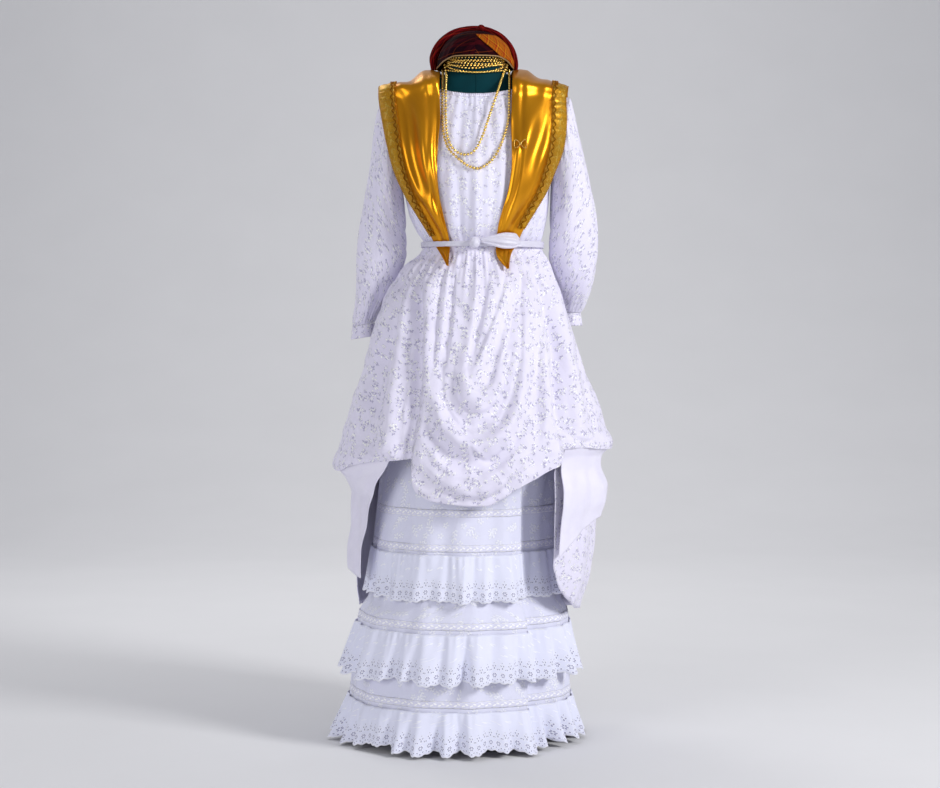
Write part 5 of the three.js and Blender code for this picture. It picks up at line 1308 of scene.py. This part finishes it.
# A point over the belt's front at x, moved out along the section's normal
def onBelt(x, z, out):
    width = np.where(x < 0, belt["left"], belt["right"])
    share = np.abs(x) / width
    depth = belt["front"] * (1 - share ** belt["power"]) ** (1 / belt["power"])
    nx = np.sign(x) * share ** (belt["power"] - 1) / width
    ny = -((depth / belt["front"]) ** (belt["power"] - 1)) / belt["front"]
    length = np.hypot(nx, ny)
    return np.stack(np.broadcast_arrays(x + nx / length * out, -depth + ny / length * out, z), -1)


# A knotted lump: an ellipsoid pinched by wrapping folds
def knot(name, centre, size, folds, depth, lean):
    u, v = grid(60, 36, True)
    a, down = turn * u, 0.02 + 0.96 * v
    z, r = np.cos(math.pi * down), np.sin(math.pi * down)
    r = r * (1 + depth * np.cos(folds * a + lean * z) + 0.4 * depth * np.cos(2.7 * folds * a - 3 * z))
    points = np.stack([size[0] * r * np.sin(a), -size[1] * r * np.cos(a), size[2] * z], -1)
    return ringSolid(name, points + np.array(centre))


beltKnot = knot("beltKnot", (-3, -(belt["front"] + 6.7), 1037), (11, 7, 12), 3, 0.1, 2)
dress(beltKnot, [ribbonOrganza], "plain_sateen", "belt_knot")
loopShape = curveOf((0, 4.5, 5), (0.3, 11, 9), (0.65, 16.5, 11), (0.88, 15, 9), (1, 7, 5))
a = np.arange(72)[None] * turn / 72
t = np.linspace(0, 1, 70)[:, None]
shape = loopShape(t)
folds = 1 + 0.12 * np.cos(4 * a) + 0.1 * np.cos(9 * a + 5 * t)
thick = (0.5 + 0.5 * np.cos(a)) * shape[..., 1] * folds
rings = onBelt(mix(10, 86, t) + 0 * a, 1041 + shape[..., 0] * np.sin(a), 0.8 + thick)
dress(ringSolid("beltLoop", rings), [ribbonOrganza], "plain_sateen", "belt_loop")
print("belt made")

crown = {"shift": -2, "width": 80, "front": 78, "back": 79, "foot": 1392, "top": 1480, "power": 2.25}
crownSection = np.array([crown["width"], crown["width"], crown["front"], crown["back"]], float)
crownRim = curveOf(
    (-180, 1399), (-100, 1401), (-75, 1403), (-55, 1413), (-32, 1421), (0, 1421),
    (34, 1421), (56, 1414), (76, 1403), (100, 1401), (180, 1399),
)


# The crown's dome: the foot's ellipse shrunk by a superellipse with height
def crownPoint(angle, z, out=0.0):
    up = np.clip((z - crown["foot"]) / (crown["top"] - crown["foot"]), 0, 1)
    shrink = (1 - up ** crown["power"]) ** (1 / crown["power"])
    section = np.broadcast_to(crownSection, np.shape(angle + z) + (4,))
    return polar(angle, sectionRadius(section, angle) * shrink + out, z, crown["shift"])


def wrappedDegrees(a):
    return np.degrees(np.arctan2(np.sin(a), np.cos(a)))


u, v = grid(160, 44, True)
a = turn * u
t = 0.015 + 0.985 * v
rim = crownRim(wrappedDegrees(a))[..., 0]
z = crown["top"] - (crown["top"] - rim) * (1 - np.cos(math.pi / 2 * t)) ** 0.8
up = np.clip((z - crown["foot"]) / (crown["top"] - crown["foot"]), 0, 1)
pleats = 1.4 * smooth(0, 0.4, t) * np.cos(9 * a) * (1 - smooth(0.75, 1, t))
finePleats = 0.7 * np.cos(22 * a + 6 * t) * smooth(0.1, 0.5, t) * (1 - smooth(0.85, 1, t))
dome = clothShell("headTieCrown", crownPoint(a, z, (pleats + finePleats) * np.sqrt(1 - up)), 1.2, True)
dress(dome, [madrasDark, madrasDark], "madras", "head_tie_crown")
print("crown area", round(area(dome), 4))
# A flap of the folded square laps over the right front, its folded edge running up to the left
u, v = grid(64, 44)
leftEdge, rightEdge = mix(2, 41, v**0.85), np.full(v.shape, 104.0)
degreesRound = mix(leftEdge, rightEdge, u)
a = np.radians(degreesRound)
rim = crownRim(degreesRound)[..., 0]
z = mix(1468, rim + 1.5, v**0.8)
up = (z - crown["foot"]) / (crown["top"] - crown["foot"])
puffed = 2.4 + 0.8 * np.cos(2 * turn * v + 4 * u) * smooth(0.02, 0.2, u) + 0.8 * bell(u, 0.05)
flap = clothShell("headTieFlap", crownPoint(a, z, puffed), 1.0)
# its checks are laid out round the crown: arc length at the crown's width across, height up
points, index = np.empty(len(flap.data.vertices) * 3), np.empty(len(flap.data.loops), np.int32)
flap.data.vertices.foreach_get("co", points)
flap.data.loops.foreach_get("vertex_index", index)
points = points.reshape(-1, 3)[index]
laid = np.stack([np.arctan2(points[:, 0], -points[:, 1]) * crown["width"] * mm, points[:, 2]], 1)
flap.data.uv_layers["cloth"].data.foreach_set("uv", laid.astype(np.float32).ravel())
dress(flap, [madrasBright, madrasBright], "madras")
print("flap area", round(area(flap), 4))
# piping along the crown's lower edge
pipeAngles = np.linspace(0, turn, 181)[:-1]
pipePath = crownPoint(pipeAngles, crownRim(wrappedDegrees(pipeAngles))[..., 0], 0.2)
dress(tubeAlong("headTiePiping", pipePath, 1.3, 8, True), [pipingCotton], "madras")

rollRadius = curveOf((-85, 6), (-70, 9), (-40, 7.6), (0, 5.6), (50, 6), (80, 5.4), (86, 4))
# the roll runs over the crown from side to side, so turns are degrees from straight up
turns = np.linspace(-85, 86, 130)[:, None]
a = np.arange(40)[None] * turn / 40
r = rollRadius(turns)[..., 0]
size = r * (1 + 0.06 * np.cos(3 * a + turns / 9) + 0.05 * np.cos(7 * a + turns / 5))
arc = np.radians(turns)
power = crown["power"]
spread = (np.abs(np.sin(arc)) ** power + np.abs(np.cos(arc)) ** power) ** (-1 / power)
height = crown["top"] - crown["foot"]
x = crown["shift"] + np.sin(arc) * (crown["width"] * spread + r * 1.06 + 0.35 + size * np.cos(a))
z = crown["foot"] + np.cos(arc) * (height * spread + r * 1.06 + 0.35 + size * np.cos(a))
y = 10 + size * np.sin(a)
roll = ringSolid("headTieRoll", np.stack(np.broadcast_arrays(x, y, z), -1))
dress(roll, [madrasRoll], "madras", "head_tie_roll")
tieKnot = knot("headTieKnot", (10, -9, 1485.2), (7.5, 8, 7), 3, 0.14, 2)
dress(tieKnot, [madrasRoll], "madras", "head_tie_knot")
print("head tie made")

beads = {"out": 2.4, "ball": 2.6, "spacing": 7.3, "longBall": 3.1, "longSpacing": 7.2, "thread": 0.35}


def neckAt(angle, z, out):
    return polar(angle, sectionRadius(formSections(z), angle) + out, z)


collars = {  # the height in front and behind
    "collar_first": (1419, 1424), "collar_second": (1411, 1418),
    "collar_third": (1402, 1412), "collar_fourth": (1388, 1406),
}
for count, (name, (low, high)) in enumerate(collars.items()):
    a = np.linspace(0, turn, 241)[:-1] + 0.031 * count
    z = mix(high, low, ((1 + np.cos(a)) / 2) ** 1.5)
    path = neckAt(a, z, beads["out"] + 1.6 * smooth(1424, 1408, high) + 0.9 * smooth(1416, 1424, high))
    piece = beadsAt("beads" + joined(name), evenly(path, beads["spacing"], True), beads["ball"])
    dress(piece, [goldBeads], "gold_metal", f"necklace_{name}")
# more rows of the same string hang between them, sagging a little unevenly in front
extraRows = [  # the height in front and behind, the sway and its phase
    (1424, 1426, 0.6, 0.0), (1412, 1424, 1.2, 1.0), (1404, 1421, 1.6, 2.2),
    (1396, 1418, 1.4, 0.4), (1386, 1414, 1.6, 1.7),
]
for count, (low, high, sway, phase) in enumerate(extraRows):
    a = np.linspace(0, turn, 241)[:-1] + 0.047 + 0.023 * count
    z = mix(high, low, ((1 + np.cos(a)) / 2) ** 3) + sway * np.sin(3 * a + phase)
    path = neckAt(a, z, beads["out"] + 2.6 + 0.8 * np.sin(2 * a + phase))
    between = beadsAt(f"beadsBetween{count}", evenly(path, beads["spacing"], True), beads["ball"])
    dress(between, [goldBeads], "gold_metal")


# How far the form or the gown reaches to the front at x and z, whichever reaches further
def frontDepth(x, z):
    depths = []
    for k, sections in enumerate((formSections, bodiceSections)):
        section = sections(np.maximum(z, bodice["bottom"]))
        share = np.minimum(1, np.abs(x) / np.where(x < 0, section[..., 0], section[..., 1]))
        depth = section[..., 2] * (1 - share ** section[..., 4]) ** (1 / section[..., 4])
        depths.append(depth if k == 0 else np.where(z < bodice["neckSide"] - 30, depth, 0))
    return np.maximum(*depths)


longStrands = {
    "necklace_long_inner": {
        "out": 11.4,
        "neckHeight": 1410,
        "sides": 75,
        "line": [
            (-62, 1390), (-62, 1350), (-62, 1300), (-60, 1262), (-52, 1234), (-36, 1217), (-16, 1214),
            (0, 1226), (12, 1250), (21, 1276), (30, 1304), (43, 1343), (57, 1388),
        ],
    },
    "necklace_long_outer": {
        "out": 5,
        "neckHeight": 1402,
        "sides": 95,
        "line": [
            (-69, 1390), (-69, 1375), (-69, 1358), (-69, 1340), (-69, 1300), (-66, 1258), (-58, 1230),
            (-43, 1212), (-18, 1192), (4, 1186), (24, 1196), (40, 1214), (56, 1250), (66, 1291),
            (68, 1340), (68.5, 1360), (68.5, 1376), (68.5, 1390),
        ],
    },
}
for name, strand in longStrands.items():
    turns = np.radians([strand["sides"], 112, 135, 158, 180, 202, 225, 248, 360 - strand["sides"]])
    behind = neckAt(turns, np.full(len(turns), float(strand["neckHeight"])), 10)
    x, z = np.array(strand["line"], float).T
    onNeck = -(np.sqrt(np.maximum(0, 68**2 - x * x)) * 0.5 + 14)
    onGown = -(frontDepth(x, np.minimum(z, 1345)) + strand["out"])
    y = np.minimum(mix(onGown, onNeck, smooth(1345, 1400, z)), -(frontDepth(x, z) + 4.5))
    path = lineThrough(np.vstack([np.stack([x, y, z], 1), behind]), 16, True)
    string = beadsAt(joined(name), evenly(path, beads["longSpacing"], True), beads["longBall"])
    dress(string, [goldBeads], "gold_metal", name)
    thread = tubeAlong(joined(name) + "Thread", path, beads["thread"], 6, True)
    dress(thread, [goldBow], "gold_metal")
print("necklaces made")

brooch = {
    "row": 27, "share": 0.83, "halfWidth": 13, "halfHeight": 11, "wire": 1.0,
    "bead": 1.15, "spacing": 2.7, "tailBead": 1.2, "middleBead": 2.8,
}
broochColumn = np.argmin(np.abs(rowPlace[:, 0] - brooch["row"]))
broochRow = np.argmin(np.abs(shares - brooch["share"]))
base = folded[broochRow, broochColumn]
facing = normals[broochRow, broochColumn]
acrossBow = np.cross(np.array([0, 0, 1.0]), facing)
acrossBow /= np.linalg.norm(acrossBow)
upBow = np.cross(facing, acrossBow)
if upBow[2] < 0:
    acrossBow, upBow = -acrossBow, -upBow
t = np.linspace(0, turn, 161)[:-1]
loopX, loopZ = brooch["halfWidth"] * np.sin(t), brooch["halfHeight"] * np.sin(2 * t) * 0.75
bowPath = base + loopX[:, None] * acrossBow + loopZ[:, None] * upBow
bowPath = bowPath + (3.2 + 0.9 * np.cos(t))[:, None] * facing
dress(tubeAlong("broochBow", bowPath, brooch["wire"], 8, True), [goldBow], "gold_metal", "brooch")
bowBeads = evenly(bowPath + 1.1 * facing, brooch["spacing"], True)
dress(beadsAt("broochBeads", bowBeads, brooch["bead"]), [goldBeads], "gold_metal")
down, lean = np.tile(np.linspace(2, 12, 6), 2)[:, None], np.repeat([-1, 1], 6)[:, None]
tails = base + 3.0 * facing + lean * 5 * acrossBow + down * (lean * 0.7 * acrossBow - upBow)
dress(beadsAt("broochTails", tails, brooch["tailBead"]), [goldBow], "gold_metal")
middleBead = beadsAt("broochMiddle", np.array([base + 4.2 * facing]), brooch["middleBead"])
dress(middleBead, [goldBeads], "gold_metal")
print("brooch made")

# a pale paper sweep: flat floor, a quarter circle, then a wall behind
backdrop = {"near": -9.0, "bendStart": 3.0, "bendRadius": 4.4, "top": 12.0, "halfWidth": 14.0}  # metres
bend = np.linspace(0, math.pi / 2, 24)
bendY = backdrop["bendStart"] + backdrop["bendRadius"] * np.sin(bend)
bendZ = backdrop["bendRadius"] - backdrop["bendRadius"] * np.cos(bend)
wallTop = (backdrop["bendStart"] + backdrop["bendRadius"], backdrop["top"])
side = np.concatenate([[(backdrop["near"], 0.0)], np.stack([bendY, bendZ], 1), [wallTop]])
across = np.array([-backdrop["halfWidth"], backdrop["halfWidth"]])
points = np.stack(np.broadcast_arrays(across[None], side[:, :1], side[:, 1:]), -1).reshape(-1, 3) / mm
r = np.arange(len(side) - 1)
floor = meshOf("studioSweep", points, [np.stack([2 * r, 2 * r + 1, 2 * r + 3, 2 * r + 2], 1)])
floorMaterial, tree, shader = newMaterial("palePaper")
place = add(tree, "ShaderNodeTexCoord").node.outputs["Object"]
fibre = add(tree, "ShaderNodeTexNoise", {"Vector": place, "Scale": 3.0, "Detail": 4.0})
paper = add(tree, "ShaderNodeMix", {0: fibre, 6: linear("#e4e4e6"), 7: linear("#dfdfe1")}, data_type="RGBA")
finishShader(tree, shader, Base_Color=paper, Roughness=0.95)
floor.data.materials.append(floorMaterial)

# each light: its place, what it faces, the size of its square in metres and its power in watts
lights = [
    ("keySoftbox", (3.0, -2.1, 2.3), (0, 0, 0.9), 1.0, 112),
    ("fillSoftbox", (-2.6, -2.9, 1.2), (0, 0, 0.6), 1.8, 44),
    ("backSoftbox", (-1.4, 1.7, 2.6), (0, 0, 0.9), 1.2, 16),
    ("sweepLight", (0, 2.2, 4.2), (0, 6.4, 0.6), 3.0, 90),
]
for name, place, target, size, power in lights:
    light = bpy.data.lights.new(name, "AREA")
    light.energy, light.size = power, size
    lamp = bpy.data.objects.new(name, light)
    bpy.context.scene.collection.objects.link(lamp)
    lamp.location = place
    away = np.array(place, float) - np.array(target, float)
    tilt = math.acos(away[2] / np.linalg.norm(away))
    lamp.rotation_euler = (tilt, 0, math.atan2(away[1], away[0]) + math.pi / 2)
world = bpy.data.worlds.new("studio")
bpy.context.scene.world = world
world.use_nodes = True
world.node_tree.nodes["Background"].inputs["Color"].default_value = linear("#d9dae2")
world.node_tree.nodes["Background"].inputs["Strength"].default_value = 0.42
bpy.context.scene.view_settings.view_transform = "Standard"

camera = bpy.data.cameras.new("camera")
camera.lens, camera.sensor_width = 76.6, 36
camera.clip_start, camera.clip_end = 0.1, 60
viewer = bpy.data.objects.new("camera", camera)
bpy.context.scene.collection.objects.link(viewer)
viewer.location = (-0.0126, -4.2, 0.92)
viewer.rotation_euler = (math.radians(90 - 2.69), 0, 0)  # 2.69 degrees downwards
bpy.context.scene.camera = viewer
print("stage made")

meshes = {piece.data for piece in bpy.context.scene.objects if piece.type == "MESH"}
print("triangles", sum(len(mesh.loops) - 2 * len(mesh.polygons) for mesh in meshes))
